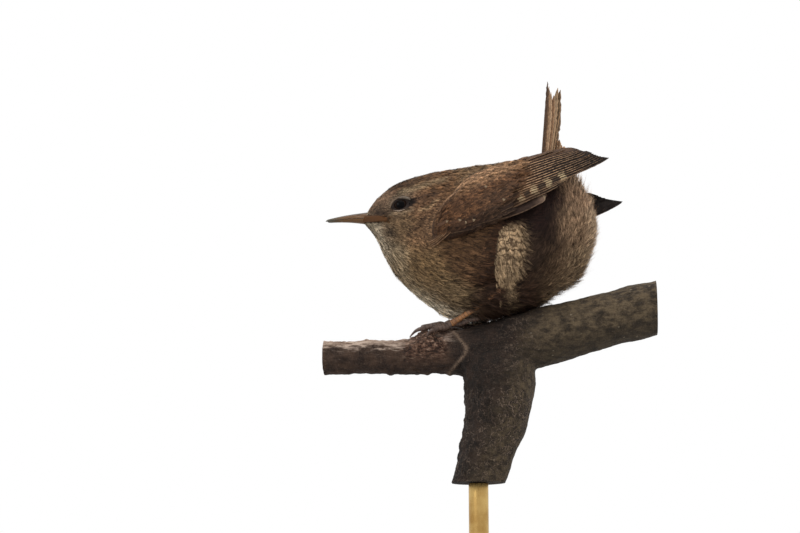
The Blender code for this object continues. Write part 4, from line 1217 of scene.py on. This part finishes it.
# Tips of the flight feathers in the wing's own plane (along, up), from the outermost primary inwards,
# and how high the lower edge of each is at one station.
FLIGHT = (
    ((28.4, -4.9), -6.1), ((34.8, -2.5), -4.0), ((39.6, -0.7), -3.4), ((43.8, 0.3), -2.8),
    ((47.6, 0.3), -2.2), ((46.7, 0.9), -1.6), ((46.0, 1.4), -1.0), ((45.5, 1.8), -0.4),
    ((45.2, 2.3), 0.3), ((44.8, 2.9), 1.0), ((44.5, 3.4), 1.8), ((43.3, 4.1), 2.6),
    ((42.8, 4.6), 3.3), ((42.4, 5.2), 4.1), ((42.1, 5.7), 4.9), ((41.8, 6.1), 5.8),
    ((39.2, 7.1), 6.6), ((36.6, 8.0), 7.5), ((33.4, 8.7), 8.2), ((30.2, 9.2), 8.8),
)
EDGE_STATION = 27.0
TIP_RAISE = 0.6
COVERTS = (
    # how many, first root, last root, first tip, last tip, width, lift and rise, edge, colour
    (11, (9.0, -3.2), (13.0, 9.2), (20.4, -4.0), (27.4, 8.2), 2.4, (-0.25, 0.0), 0.15, (100, 73, 53)),
    (7, (2.2, -2.6), (9.0, -3.2), (9.5, -5.0), (20.5, -5.4), 1.6, (-0.6, 0.4), 0.15, (54, 41, 34)),
    (4, (-1.6, -1.2), (-1.4, -2.7), (3.3, -2.1), (3.8, -4.0), 0.75, (-2.5, 2.7), 1.0, (92, 68, 50)),
    (4, (5.6, -0.2), (6.2, -1.8), (12.4, 0.6), (13.2, -2.6), 0.9, (-0.3, 0.6), 0.8, (98, 72, 53)),
)
SPOTTED = ((4.5, -1.1), (7.3, -2.5), (8.3, -3.7), (10.3, -4.0), (12.9, -3.4), (16.8, 3.3), (19.0, -2.4))


def flight_colour(station, height):
    """Rufous brown near the arm and on the upper feathers, dark brown on the long tips, and darker along the wing's
    lower edge: partly darker feathers, partly painted shade.
    """
    out_there = smooth((station - 21) / 12)
    upper = smooth((height - 3.5) / 5)[..., None]
    shade = shade_mix(out_there, (104, 74, 52), (33, 25, 21))
    shade = shade * (1 - 0.85 * upper) + shade_mix(out_there, (146, 109, 82), (88, 66, 51)) * 0.85 * upper
    dark_and_shaded_low_edge = 1 - smooth((height + 4.2 - 0.08 * (station - 20)) / 2.0)
    return shade * (1 - 0.7 * dark_and_shaded_low_edge)[..., None]


def covert_colour(station, height):
    """The row of long coverts is rufous, and dark along the wing's lower edge: partly darker feathers, partly painted
    shade.
    """
    return shade_mix(smooth((height + 4.2) / 3.5), (50, 38, 32), (106, 78, 56))


def outermost_colour(station, height):
    """The short outermost primary is dark along its length and grey-brown at its rounded tip."""
    return shade_mix(smooth((station - 24.6) / 3.2), (50, 38, 32), (96, 78, 66))


def bar_strength(station, height):
    """The pale bars follow the wing's lower edge and climb a little towards the tip."""
    line = -2.5 + 0.14 * (station - BAR_START)
    return np.exp(-(((height - line) / 1.0) ** 2)) * smooth((station - 18) / 3) * smooth((37.5 - station) / 2.5)


wing_beds = {}
for name, side in (("left", -1), ("right", 1)):
    vanes = []
    for index, (tip, edge_height) in enumerate(FLIGHT):
        share = index / (len(FLIGHT) - 1)
        look = {"colour": flight_colour, "edge": min(0.15 + 0.12 * index, 0.9), "bars": bar_strength}
        if index == 0:
            look = {"colour": outermost_colour, "edge": 0.15, "spot": 0.5}
        station = min(EDGE_STATION, tip[0] - 4)
        vanes.append(
            make_vane(
                wing_place, side, (13.0, -3.6 + 11 * share ** 0.9), (tip[0], tip[1] + TIP_RAISE), 100 + index,
                wide=(2.6 if not index else 1.7 if index > 15 else 3.4), inner=0.7 if index else 0.5,
                lift=-1.0 + 0.3 * share - 0.4 * (index > 17), tilt=0.7,
                point=0.7 if 0 < index < 10 else 0.45, blunt=0.26 if 0 < index < 10 else 0.12, fray=0.04,
                through=(station, edge_height), look=look,
            )
        )
    for row, (count, first, last, first_tip, last_tip, wide, lift, edge, colour) in enumerate(COVERTS):
        for index in range(count):
            share = index / (count - 1)
            luck = np.random.default_rng(200 + index + 20 * row)
            root = np.array(first) * (1 - share) + np.array(last) * share
            tip = np.array(first_tip) * (1 - share) + np.array(last_tip) * share + luck.uniform(-0.4, 0.4, 2)
            vanes.append(
                make_vane(
                    wing_place, side, root, tip, 300 + index + 20 * row, wide=wide, inner=0.55, lift=lift[0],
                    rise=lift[1], tilt=0.3, blunt=0.35, fray=0.25, look={"colour": covert_colour if row == 0 else colour, "edge": edge},
                )
            )
    for index, tip in enumerate(SPOTTED):
        vanes.append(
            make_vane(
                wing_place, side, (tip[0] - 3.0, tip[1] + 0.5), tip, 400 + index, wide=0.9, inner=0.5, lift=0.4,
                tilt=0.1, blunt=0.3, fray=0.2, look={"colour": (80, 58, 44), "spot": 0.8},
            )
        )
    settle(join_vanes("wing_feathers_" + name, vanes, vane_paint), "flight_feathers", "wing_" + name)
    top, station, height, coated = wing_pad(side)
    low_face = wing_place(station, height, np.full(station.shape, -2.8), side)
    pad = new_piece(
        "wing_arm_" + name, np.vstack((top.reshape(-1, 3), low_face.reshape(-1, 3))),
        closed_sheet(PAD_ROWS, PAD_COLUMNS), skin_paint,
    )
    out = unit(np.cross(np.gradient(top, axis=0), np.gradient(top, axis=1)))
    out = out * np.where((out[..., 1:2] * side) < 0, -1.0, 1.0)
    lay = wing_place(station + 0.5, height * 0.985, 0 * station, side) - wing_place(station, height, 0 * station, side)
    lay = unit(lay - out * (lay * out).sum(-1, keepdims=True))
    tint = shade_mix(smooth((height - 3.0) / 4.5), (100, 70, 48), (166, 128, 95))
    rim = (0.7 * (1 - smooth((station - 0.35 * height) / 3.5)) * smooth((height + 1) / 5))[..., None]
    tint = tint * (1 - 0.35 * np.exp(-(((station - 0.35 * height) / 0.8) ** 2)))[..., None]
    tint = tint * (1 - rim) + np.array(paint(112, 84, 60)[:3]) * rim
    rows_of_tips = np.sin(math.tau * station / 2.5 + 1.6 * np.sin(math.tau * height / 3.4))
    tint = tint * (1 + 0.24 * rows_of_tips * smooth((station - 3) / 4))[..., None]
    # The pad's lower edge is darker: partly darker feathers, partly painted shade.
    pad_dark_and_shaded_edge = (0.75 * smooth((-2.0 - height) / 1.6))[..., None]
    tint = tint * (1 - pad_dark_and_shaded_edge) + np.array(paint(60, 46, 38)[:3]) * pad_dark_and_shaded_edge
    rearwards = (0.5 * smooth((station - 9) / 6) * smooth((3 - height) / 3))[..., None]
    tint = tint * (1 - rearwards) + np.array(paint(80, 62, 49)[:3]) * rearwards
    half = PAD_ROWS * PAD_COLUMNS
    write_fields(
        pad.data,
        {
            "lie": np.vstack([lay.reshape(-1, 3)] * 2),
            "out": np.vstack([out.reshape(-1, 3)] * 2),
            "plumage": np.vstack([tint.reshape(-1, 3)] * 2),
            "length": np.tile((1.5 + 0.11 * np.clip(station, 0, 20)).ravel() * MM, 2),
            "steep": np.full(2 * half, math.radians(4.5)),
            "bars": np.full(2 * half, 0.4),
            "thigh": np.zeros(2 * half),
            "loose": np.zeros(2 * half),
            "cover": np.append(coated.ravel(), np.zeros(half)),
        },
    )
    spread = np.stack((station / 36 + 0.06, height / 36 + 0.22), axis=-1).reshape(-1, 2)
    lay_map(pad.data, "OFBake", np.vstack((spread, spread + (0, 0.5))))
    settle(pad, "flight_feathers")
    wing_beds[name] = pad.data

# Tail: twelve feathers folded into a steep roof and cocked upright, dark-barred, the middle pair in
# front and tallest, each outer pair a little shorter and further back.
TAIL_ROOT_HEIGHT = 114.0
TAIL_FRONT_X = 13.55
TAIL_LEAN = 0.089
TAIL_ROOF = 3.5
TAIL_TIPS = (
    ((30.9, 0.5), (84, 62, 46)), ((29.4, 1.2), (132, 104, 80)), ((27.6, 2.1), (168, 138, 110)),
    ((26.4, 3.1), (112, 84, 62)), ((28.0, 4.1), (150, 124, 98)), ((27.2, 4.9), (86, 68, 50)),
)



def tail_place(upward, sideways, lift, side):
    """Points of the closed tail from millimetres above its root and off its middle; lift is forwards."""
    roof = TAIL_ROOF * (np.abs(sideways) / 5.6) ** 1.3
    x = TAIL_FRONT_X + roof + TAIL_LEAN * upward - lift
    return np.stack((x, -side * sideways, TAIL_ROOT_HEIGHT + upward), axis=-1)


vanes = []
for index, ((tip_height, tip_side), shade) in enumerate(TAIL_TIPS):
    for side in (-1, 1):
        vanes.append(
            make_vane(
                tail_place, side, (0.0, -0.3 - 0.22 * index), (tip_height, -tip_side), 500 + 2 * index + side,
                wide=3.0, inner=0.5, lift=-0.13 * index - (0.06 if side < 0 else 0), tilt=0.0, blunt=0.34,
                point=0.8, fray=0.3, look={"colour": shade, "edge": 0.45 if index else 0.15},
            )
        )
TAIL_COVERTS = ((16.0, 2.4, 2.0), (14.8, 3.2, 2.5), (13.8, 2.6, 3.3), (13.0, 3.4, 3.8), (12.2, 3.0, 4.7))
for index, (tip_height, tip_side, back) in enumerate(TAIL_COVERTS):
    for side in (-1, 1):
        vanes.append(
            make_vane(
                tail_place, side, (4.0, -1.6), (tip_height, -tip_side), 540 + 2 * index + side, wide=3.2,
                inner=0.5, lift=-back, tilt=0.0, blunt=0.5, fray=0.5, look={"colour": (186, 154, 124), "edge": 0.2},
            )
        )
settle(join_vanes("tail_feathers", vanes, vane_paint), "flight_feathers", "tail")

# Coat: small feathers over the whole skin, each a fan of barbs that is smallest on the face. They
# overlap and lie back along the body, flat on head and back, loose and standing at the vent.
TUFT_STEPS = 2


def make_tuft(name, barbs, seed, fray, thick=0.6, least=0.0):
    """A feather one unit long and one wide: it grows along X, spreads over Y and bows over Z."""
    luck = np.random.default_rng(seed)
    points = []
    faces = []
    values = {"run": [], "chance": []}
    patch = []
    for barb in range(barbs):
        side = (2 * (barb + 0.5) / barbs - 1) + luck.uniform(-0.6, 0.6) / barbs
        reach = (1 - 0.38 * side * side) * (1 - fray * luck.uniform(0, 0.5))
        spread = luck.uniform(0.92, 1.08)
        half = thick / barbs * luck.uniform(0.75, 1.2)
        height = luck.uniform(-0.02, 0.03) - 0.06 * abs(side)
        chance = luck.uniform(least, 1)
        start = len(points)
        for step in range(TUFT_STEPS + 1):
            share = step / TUFT_STEPS
            x = reach * share
            y = 0.5 * side * spread * share ** 0.62
            z = height * share + 0.11 * math.sin(math.pi * min(share * 1.05, 1)) - 0.03 * share ** 3
            wide = half * (1.05 - 0.55 * share)
            corners = [(x, y - wide, z), (x, y + wide, z)] if step < TUFT_STEPS else [(x, y, z)]
            for corner in corners:
                points.append(corner)
                values["run"].append(share)
                values["chance"].append(chance)
                patch.append((min(max(corner[0], 0), 1), min(max(corner[1] + 0.5, 0), 1), 0))
        faces += [(start, start + 2, start + 3, start + 1), (start + 2, start + 4, start + 3)]
    mesh = bpy.data.meshes.new(name)
    mesh.from_pydata(points, [], faces)
    write_fields(mesh, {**values, "patch": patch})
    return bpy.data.objects.new(name, mesh)


tufts = bpy.data.collections.new("tufts")
for index, (barbs, fray) in enumerate(((7, 0.5), (8, 0.7), (7, 0.9), (9, 0.6))):
    tufts.objects.link(make_tuft("tuft_{}".format(index), barbs, 10 + index, fray))
wisps = bpy.data.collections.new("wisps")
for index, barbs in enumerate((3, 4, 3, 5)):
    wisps.objects.link(make_tuft("wisp_{}".format(index), barbs, 30 + index, 1.0, 0.16, 0.6))

scatter = bpy.data.node_groups.new("coat", "GeometryNodeTree")
for name, kind in (
    ("Geometry", "NodeSocketGeometry"),
    ("Spacing", "NodeSocketFloat"),
    ("Part", "NodeSocketInt"),
    ("Seed", "NodeSocketInt"),
    ("Width", "NodeSocketFloat"),
    ("Lift", "NodeSocketFloat"),
    ("Long", "NodeSocketFloat"),
    ("Cover", "NodeSocketString"),
    ("Tufts", "NodeSocketCollection"),
    ("Material", "NodeSocketMaterial"),
):
    scatter.interface.new_socket(name, in_out="INPUT", socket_type=kind)
scatter.interface.new_socket("Geometry", in_out="OUTPUT", socket_type="NodeSocketGeometry")
given = put(scatter, "NodeGroupInput").outputs


def kept(name, kind="FLOAT"):
    """A named value that the mesh carries."""
    return put(scatter, "GeometryNodeInputNamedAttribute", {"Name": name}, data_type=kind).outputs[0]


def dice(low, high, step):
    """A random number for each feather; step keeps one apart from another."""
    sockets = {2: low, 3: high, "Seed": calc(scatter, "ADD", given["Seed"], step)}
    return put(scatter, "FunctionNodeRandomValue", sockets, data_type="FLOAT").outputs[1]


here = put(
    scatter, "FunctionNodeCompare", {2: kept("part", "INT"), 3: given["Part"]}, data_type="INT", operation="EQUAL"
).outputs[0]
dense = calc(scatter, "DIVIDE", 1.6, calc(scatter, "MULTIPLY", given["Spacing"], given["Spacing"]))
roots = put(
    scatter, "GeometryNodeDistributePointsOnFaces",
    {
        "Mesh": given["Geometry"],
        "Selection": here,
        "Distance Min": given["Spacing"],
        "Density Max": dense,
        "Density Factor": kept(given["Cover"]),
        "Seed": given["Seed"],
    },
    distribute_method="POISSON",
)
turn = put(
    scatter, "FunctionNodeAxesToRotation",
    {"Primary Axis": kept("lie", "FLOAT_VECTOR"), "Secondary Axis": kept("out", "FLOAT_VECTOR")},
    primary_axis="X", secondary_axis="Z",
).outputs[0]
lift = calc(scatter, "MULTIPLY", calc(scatter, "MULTIPLY", kept("steep"), dice(0.6, 1.35, 1)), given["Lift"])
looseness = calc(scatter, "MULTIPLY_ADD", kept("steep"), 0.6, 0.16)
yaw = calc(scatter, "MULTIPLY", dice(-1.2, 1.2, 2), looseness)
roll = calc(scatter, "MULTIPLY", dice(-1.0, 1.0, 3), 0.22)
tilt = put(scatter, "ShaderNodeCombineXYZ", {0: roll, 1: lift, 2: yaw}).outputs[0]
tilt = put(scatter, "FunctionNodeEulerToRotation", {0: tilt}).outputs[0]
turn = put(scatter, "FunctionNodeRotateRotation", {0: turn, 1: tilt}, rotation_space="LOCAL").outputs[0]
long = calc(scatter, "MULTIPLY", calc(scatter, "MULTIPLY", kept("length"), given["Long"]), dice(0.75, 1.15, 4))
wide = calc(scatter, "MULTIPLY", calc(scatter, "MULTIPLY", kept("length"), given["Width"]), dice(0.8, 1.2, 5))
size = put(scatter, "ShaderNodeCombineXYZ", {0: long, 1: wide, 2: long}).outputs[0]
stock = put(
    scatter, "GeometryNodeCollectionInfo", {"Collection": given["Tufts"], "Separate Children": True, "Reset Children": True}
).outputs[0]
whole = put(
    scatter, "FunctionNodeRandomValue", {4: 0, 5: 3, "Seed": calc(scatter, "ADD", given["Seed"], 6)}, data_type="INT"
).outputs[2]
grown = put(
    scatter, "GeometryNodeInstanceOnPoints",
    {
        "Points": roots.outputs[0],
        "Instance": stock,
        "Pick Instance": True,
        "Instance Index": whole,
        "Rotation": turn,
        "Scale": size,
    },
).outputs[0]
grown = put(
    scatter, "GeometryNodeStoreNamedAttribute", {0: grown, "Name": "luck", 3: dice(0.0, 1.0, 7)},
    data_type="FLOAT", domain="INSTANCE",
).outputs[0]
real = put(scatter, "GeometryNodeRealizeInstances", {0: grown}).outputs[0]
small = put(
    scatter, "ShaderNodeVectorMath",
    {0: kept("patch", "FLOAT_VECTOR"), 1: (0.003, 0.003, 0), 2: kept("root", "FLOAT_VECTOR")},
    operation="MULTIPLY_ADD",
).outputs[0]
mapped = put(
    scatter, "GeometryNodeStoreNamedAttribute", {0: real, "Name": "OFBake", 3: small},
    data_type="FLOAT2", domain="CORNER",
).outputs[0]
done = put(scatter, "GeometryNodeSetMaterial", {0: mapped, "Material": given["Material"]}).outputs[0]
put(scatter, "NodeGroupOutput", {0: done})
socket_ids = {item.name: item.identifier for item in scatter.interface.items_tree if item.in_out == "INPUT"}


def grow_coat(name, bed, part, spacing, width, seed, cover="cover", stock=tufts, lift=1.0, long=1.0):
    """Grows one piece of coat on the faces of the bed that carry this part's number."""
    carrier = bpy.data.objects.new(name, bed)
    bpy.context.scene.collection.objects.link(carrier)
    step = carrier.modifiers.new("coat", "NODES")
    step.node_group = scatter
    for key, value in (
        ("Spacing", spacing * MM), ("Part", part), ("Seed", seed), ("Width", width), ("Lift", -lift),
        ("Long", long), ("Cover", cover), ("Tufts", stock), ("Material", coat_paint),
    ):
        step[socket_ids[key]] = value
    bpy.context.view_layer.update()
    made = bpy.data.meshes.new_from_object(carrier.evaluated_get(bpy.context.evaluated_depsgraph_get()))
    carrier.modifiers.clear()
    carrier.data = made
    made.name = name
    for extra in ("lie", "length", "steep", "cover", "loose", "hanging", "patch", "root"):
        if extra in made.attributes:
            made.attributes.remove(made.attributes[extra])
    return carrier


def soften_normals(mesh, share):
    """Turns the shading of thin barbs part of the way to that of the skin under them."""
    own = np.empty(len(mesh.vertices) * 3, np.float32)
    mesh.vertices.foreach_get("normal", own)
    own = own.reshape(-1, 3)
    under = np.empty(len(mesh.vertices) * 3, np.float32)
    mesh.attributes["out"].data.foreach_get("vector", under)
    under = under.reshape(-1, 3)
    own *= np.where((own * under).sum(1) < 0, -1.0, 1.0)[:, None]
    mesh.attributes.remove(mesh.attributes["out"])
    mesh.normals_split_custom_set_from_vertices(unit(own * (1 - share) + unit(under) * share))


feather_tone = bpy.data.node_groups.new("feather tone", "ShaderNodeTree")
for name, kind in (("Plumage", "NodeSocketColor"), ("Run", "NodeSocketFloat"), ("Chance", "NodeSocketFloat"), ("Luck", "NodeSocketFloat")):
    feather_tone.interface.new_socket(name, in_out="INPUT", socket_type=kind)
feather_tone.interface.new_socket("Color", in_out="OUTPUT", socket_type="NodeSocketColor")
inner = put(feather_tone, "NodeGroupInput").outputs
place = object_place(feather_tone)
patchy = grain(feather_tone, place, 1.8, 3.0, 0.6)
gain = ease(feather_tone, patchy, 0.32, 0.68, 0.78, 1.22)
# Run makes each barb darker at its root and lighter at its tip: partly the dark down at a feather's base, partly
# painted shade where feathers overlap.
for value, low, high in ((inner["Run"], 0.3, 1.2), (inner["Chance"], 0.5, 1.58), (inner["Luck"], 0.74, 1.28)):
    gain = calc(feather_tone, "MULTIPLY", gain, ease(feather_tone, value, 0.0, 0.95, low, high))
grey = put(feather_tone, "ShaderNodeCombineXYZ", {0: gain, 1: gain, 2: gain}).outputs[0]
lit = blend(feather_tone, 1.0, inner["Plumage"], grey, "MULTIPLY")
# Dark patches in the coat: partly dark down showing through, partly painted shade in the gaps between feathers.
gaps = ease(feather_tone, grain(feather_tone, place, 0.7, 3.0, 0.65), 0.53, 0.66, 0.0, 0.58)
lit = blend(feather_tone, gaps, lit, paint(44, 31, 24))
put(feather_tone, "NodeGroupOutput", {0: lit})

coat_paint, tree, shader = new_material("coat", 0.8, Specular_IOR_Level=0.2)
place = object_place(tree)
parts = put(tree, "ShaderNodeSeparateXYZ", {0: place}).outputs
plumage = put(tree, "ShaderNodeAttribute", attribute_name="plumage").outputs["Color"]
run = put(tree, "ShaderNodeAttribute", attribute_name="run").outputs["Fac"]
chance = put(tree, "ShaderNodeAttribute", attribute_name="chance").outputs["Fac"]
luck = put(tree, "ShaderNodeAttribute", attribute_name="luck").outputs["Fac"]
barred = put(tree, "ShaderNodeAttribute", attribute_name="bars").outputs["Fac"]
on_thigh = put(tree, "ShaderNodeAttribute", attribute_name="thigh").outputs["Fac"]
tone = put(tree, "ShaderNodeGroup", node_tree=feather_tone)
tree.links.new(plumage, tone.inputs["Plumage"])
tree.links.new(run, tone.inputs["Run"])
tree.links.new(chance, tone.inputs["Chance"])
tree.links.new(luck, tone.inputs["Luck"])
tone = tone.outputs[0]
band = calc(tree, "SINE", calc(tree, "MULTIPLY_ADD", run, 11.0, calc(tree, "MULTIPLY", luck, 3.0)))
band = calc(tree, "MULTIPLY", ease(tree, band, 0.0, 0.8), barred)
tone = blend(tree, calc(tree, "MULTIPLY", band, 0.75), tone, paint(46, 33, 26))
drift = calc(tree, "MULTIPLY", grain(tree, place, 1.6, 3.0), 5.0 * MM)
stripe = calc(tree, "MULTIPLY", calc(tree, "ADD", parts["Z"], drift), math.tau / (1.7 * MM))
stripe = ease(tree, calc(tree, "SINE", stripe), 0.1, 0.8)
high = ease(tree, parts["Z"], 91 * MM, 98 * MM, 0.35, 1.0)
stripe = calc(tree, "MULTIPLY", calc(tree, "MULTIPLY", stripe, on_thigh), high)
tone = blend(tree, calc(tree, "MULTIPLY", stripe, 0.8), tone, paint(62, 45, 35))
tree.links.new(tone, shader.inputs["Base Color"])

# Where the coat is parted into pieces, as shares of the way from bill to vent, with the distance
# between its feathers and how wide each is beside its length.
COAT_PARTS = (
    ("face", 0.0, 0.2, 0.23, 0.46),
    ("crown", 0.2, 0.32, 0.28, 0.4),
    ("neck", 0.32, 0.46, 0.4, 0.36),
    ("breast", 0.46, 0.6, 0.46, 0.32),
    ("flank", 0.6, 0.75, 0.46, 0.32),
    ("vent", 0.75, 1.01, 0.48, 0.32),
)
bed = skin_piece.data.copy()
face_part = np.full(len(bed.polygons), -1, np.int32)
rows_of_faces = np.arange((SKIN_ROWS - 1) * SKIN_SIDES) // SKIN_SIDES
columns_of_faces = np.arange((SKIN_ROWS - 1) * SKIN_SIDES) % SKIN_SIDES
centre_share = (rows_of_faces + 0.5) / (SKIN_ROWS - 1)
for index, (_, start, end, _, _) in enumerate(COAT_PARTS):
    for half in (0, 1):
        inside = (centre_share >= start) & (centre_share < end) & ((columns_of_faces >= SKIN_SIDES // 2) == half)
        face_part[:len(inside)][inside] = 2 * index + half
bed.attributes.new("part", "INT", "FACE").data.foreach_set("value", face_part)
bed.uv_layers[0].name = "root"
for index, (name, _, _, spacing, width) in enumerate(COAT_PARTS):
    for half, side in ((0, "left"), (1, "right")):
        piece = grow_coat(
            "coat_{}_{}".format(name, side), bed, 2 * index + half, spacing, width, 20 + 2 * index + half
        )
        soften_normals(piece.data, 0.6)
        settle(piece, "crown_feathers" if index < 3 else "breast_feathers")

for half, side in ((0, "left"), (1, "right")):
    for index in (1, 3, 4, 5):
        piece = grow_coat(
            "wisps_{}_{}".format(COAT_PARTS[index][0], side), bed, 2 * index + half, 0.42, 0.3,
            80 + 2 * index + half, cover="loose", stock=wisps, lift=1.2, long=1.1,
        )
        soften_normals(piece.data, 0.5)
        settle(piece, "breast_feathers")
    for index in (3, 4):
        piece = grow_coat(
            "fringe_{}_{}".format(COAT_PARTS[index][0], side), bed, 2 * index + half, 0.7, 0.34,
            120 + 2 * index + half, cover="hanging", lift=1.6, long=1.05,
        )
        soften_normals(piece.data, 0.5)
        settle(piece, "breast_feathers")

for index, (name, bed) in enumerate(wing_beds.items()):
    bed = bed.copy()
    bed.attributes.new("part", "INT", "FACE")
    bed.uv_layers[0].name = "root"
    piece = grow_coat("coat_wing_" + name, bed, 0, 0.38, 0.42, 60 + index)
    soften_normals(piece.data, 0.6)
    settle(piece, "flight_feathers")

# Floor, air and lamps: a plain pale floor under the stand, a pale even room and soft lamps above.
floor_paint, tree, shader = new_material("floor", 0.8)
place = object_place(tree)
tone = blend(tree, grain(tree, place, 60.0, 2.0), paint(186, 186, 185), paint(196, 196, 195))
tree.links.new(tone, shader.inputs["Base Color"])
FLOOR_SIZE = 3000.0
corners = [(x * FLOOR_SIZE, y * FLOOR_SIZE, 0) for x, y in ((-1, -1), (1, -1), (1, 1), (-1, 1))]
floor = new_piece("floor", corners, [(0, 1, 2, 3)], floor_paint)

scene = bpy.context.scene
world = bpy.data.worlds.new("room")
scene.world = world
world.use_nodes = True
tree = world.node_tree
direction = put(tree, "ShaderNodeTexCoord").outputs["Generated"]
upwards = put(tree, "ShaderNodeSeparateXYZ", {0: direction}).outputs["Z"]
tree.nodes["Background"].inputs["Color"].default_value = (1.0, 1.0, 1.0, 1.0)
tree.links.new(ease(tree, upwards, 0.45, 1.0, 1.0, 1.5), tree.nodes["Background"].inputs["Strength"])
scene.view_settings.view_transform = "Standard"


def lamp(name, spot, aim, size, power, tint):
    """A square soft lamp at a spot, pointed at another; places are in millimetres."""
    light = bpy.data.lights.new(name, "AREA")
    light.size = size * MM
    light.energy = power
    light.color = tint
    made = bpy.data.objects.new(name, light)
    made.location = Vector(spot) * MM
    made.rotation_mode = "QUATERNION"
    made.rotation_quaternion = (Vector(aim) - Vector(spot)).to_track_quat("-Z", "Y")
    scene.collection.objects.link(made)


lamp("lamp_above", (-60, -80, 700), (0, 0, 100), 500, 1.5, (1.0, 0.99, 0.97))
lamp("lamp_before", (-330, -420, 330), (0, 0, 100), 110, 0.4, (1.0, 1.0, 1.0))

# Camera: on the bird's left and a little below it, looking slightly up, as in the photo.
CAMERA_PLACE = (21.8, -408.6, 10.7)
CAMERA_AIM = (-21.1, 0.0, 98.0)
lens = bpy.data.cameras.new("camera")
lens.sensor_width = 36.0
lens.lens = 75.6
lens.clip_start = 0.01
lens.clip_end = 20.0
camera = bpy.data.objects.new("camera", lens)
camera.location = Vector(CAMERA_PLACE) * MM
camera.rotation_mode = "QUATERNION"
camera.rotation_quaternion = (Vector(CAMERA_AIM) - Vector(CAMERA_PLACE)).to_track_quat("-Z", "Y")
scene.collection.objects.link(camera)
scene.camera = camera
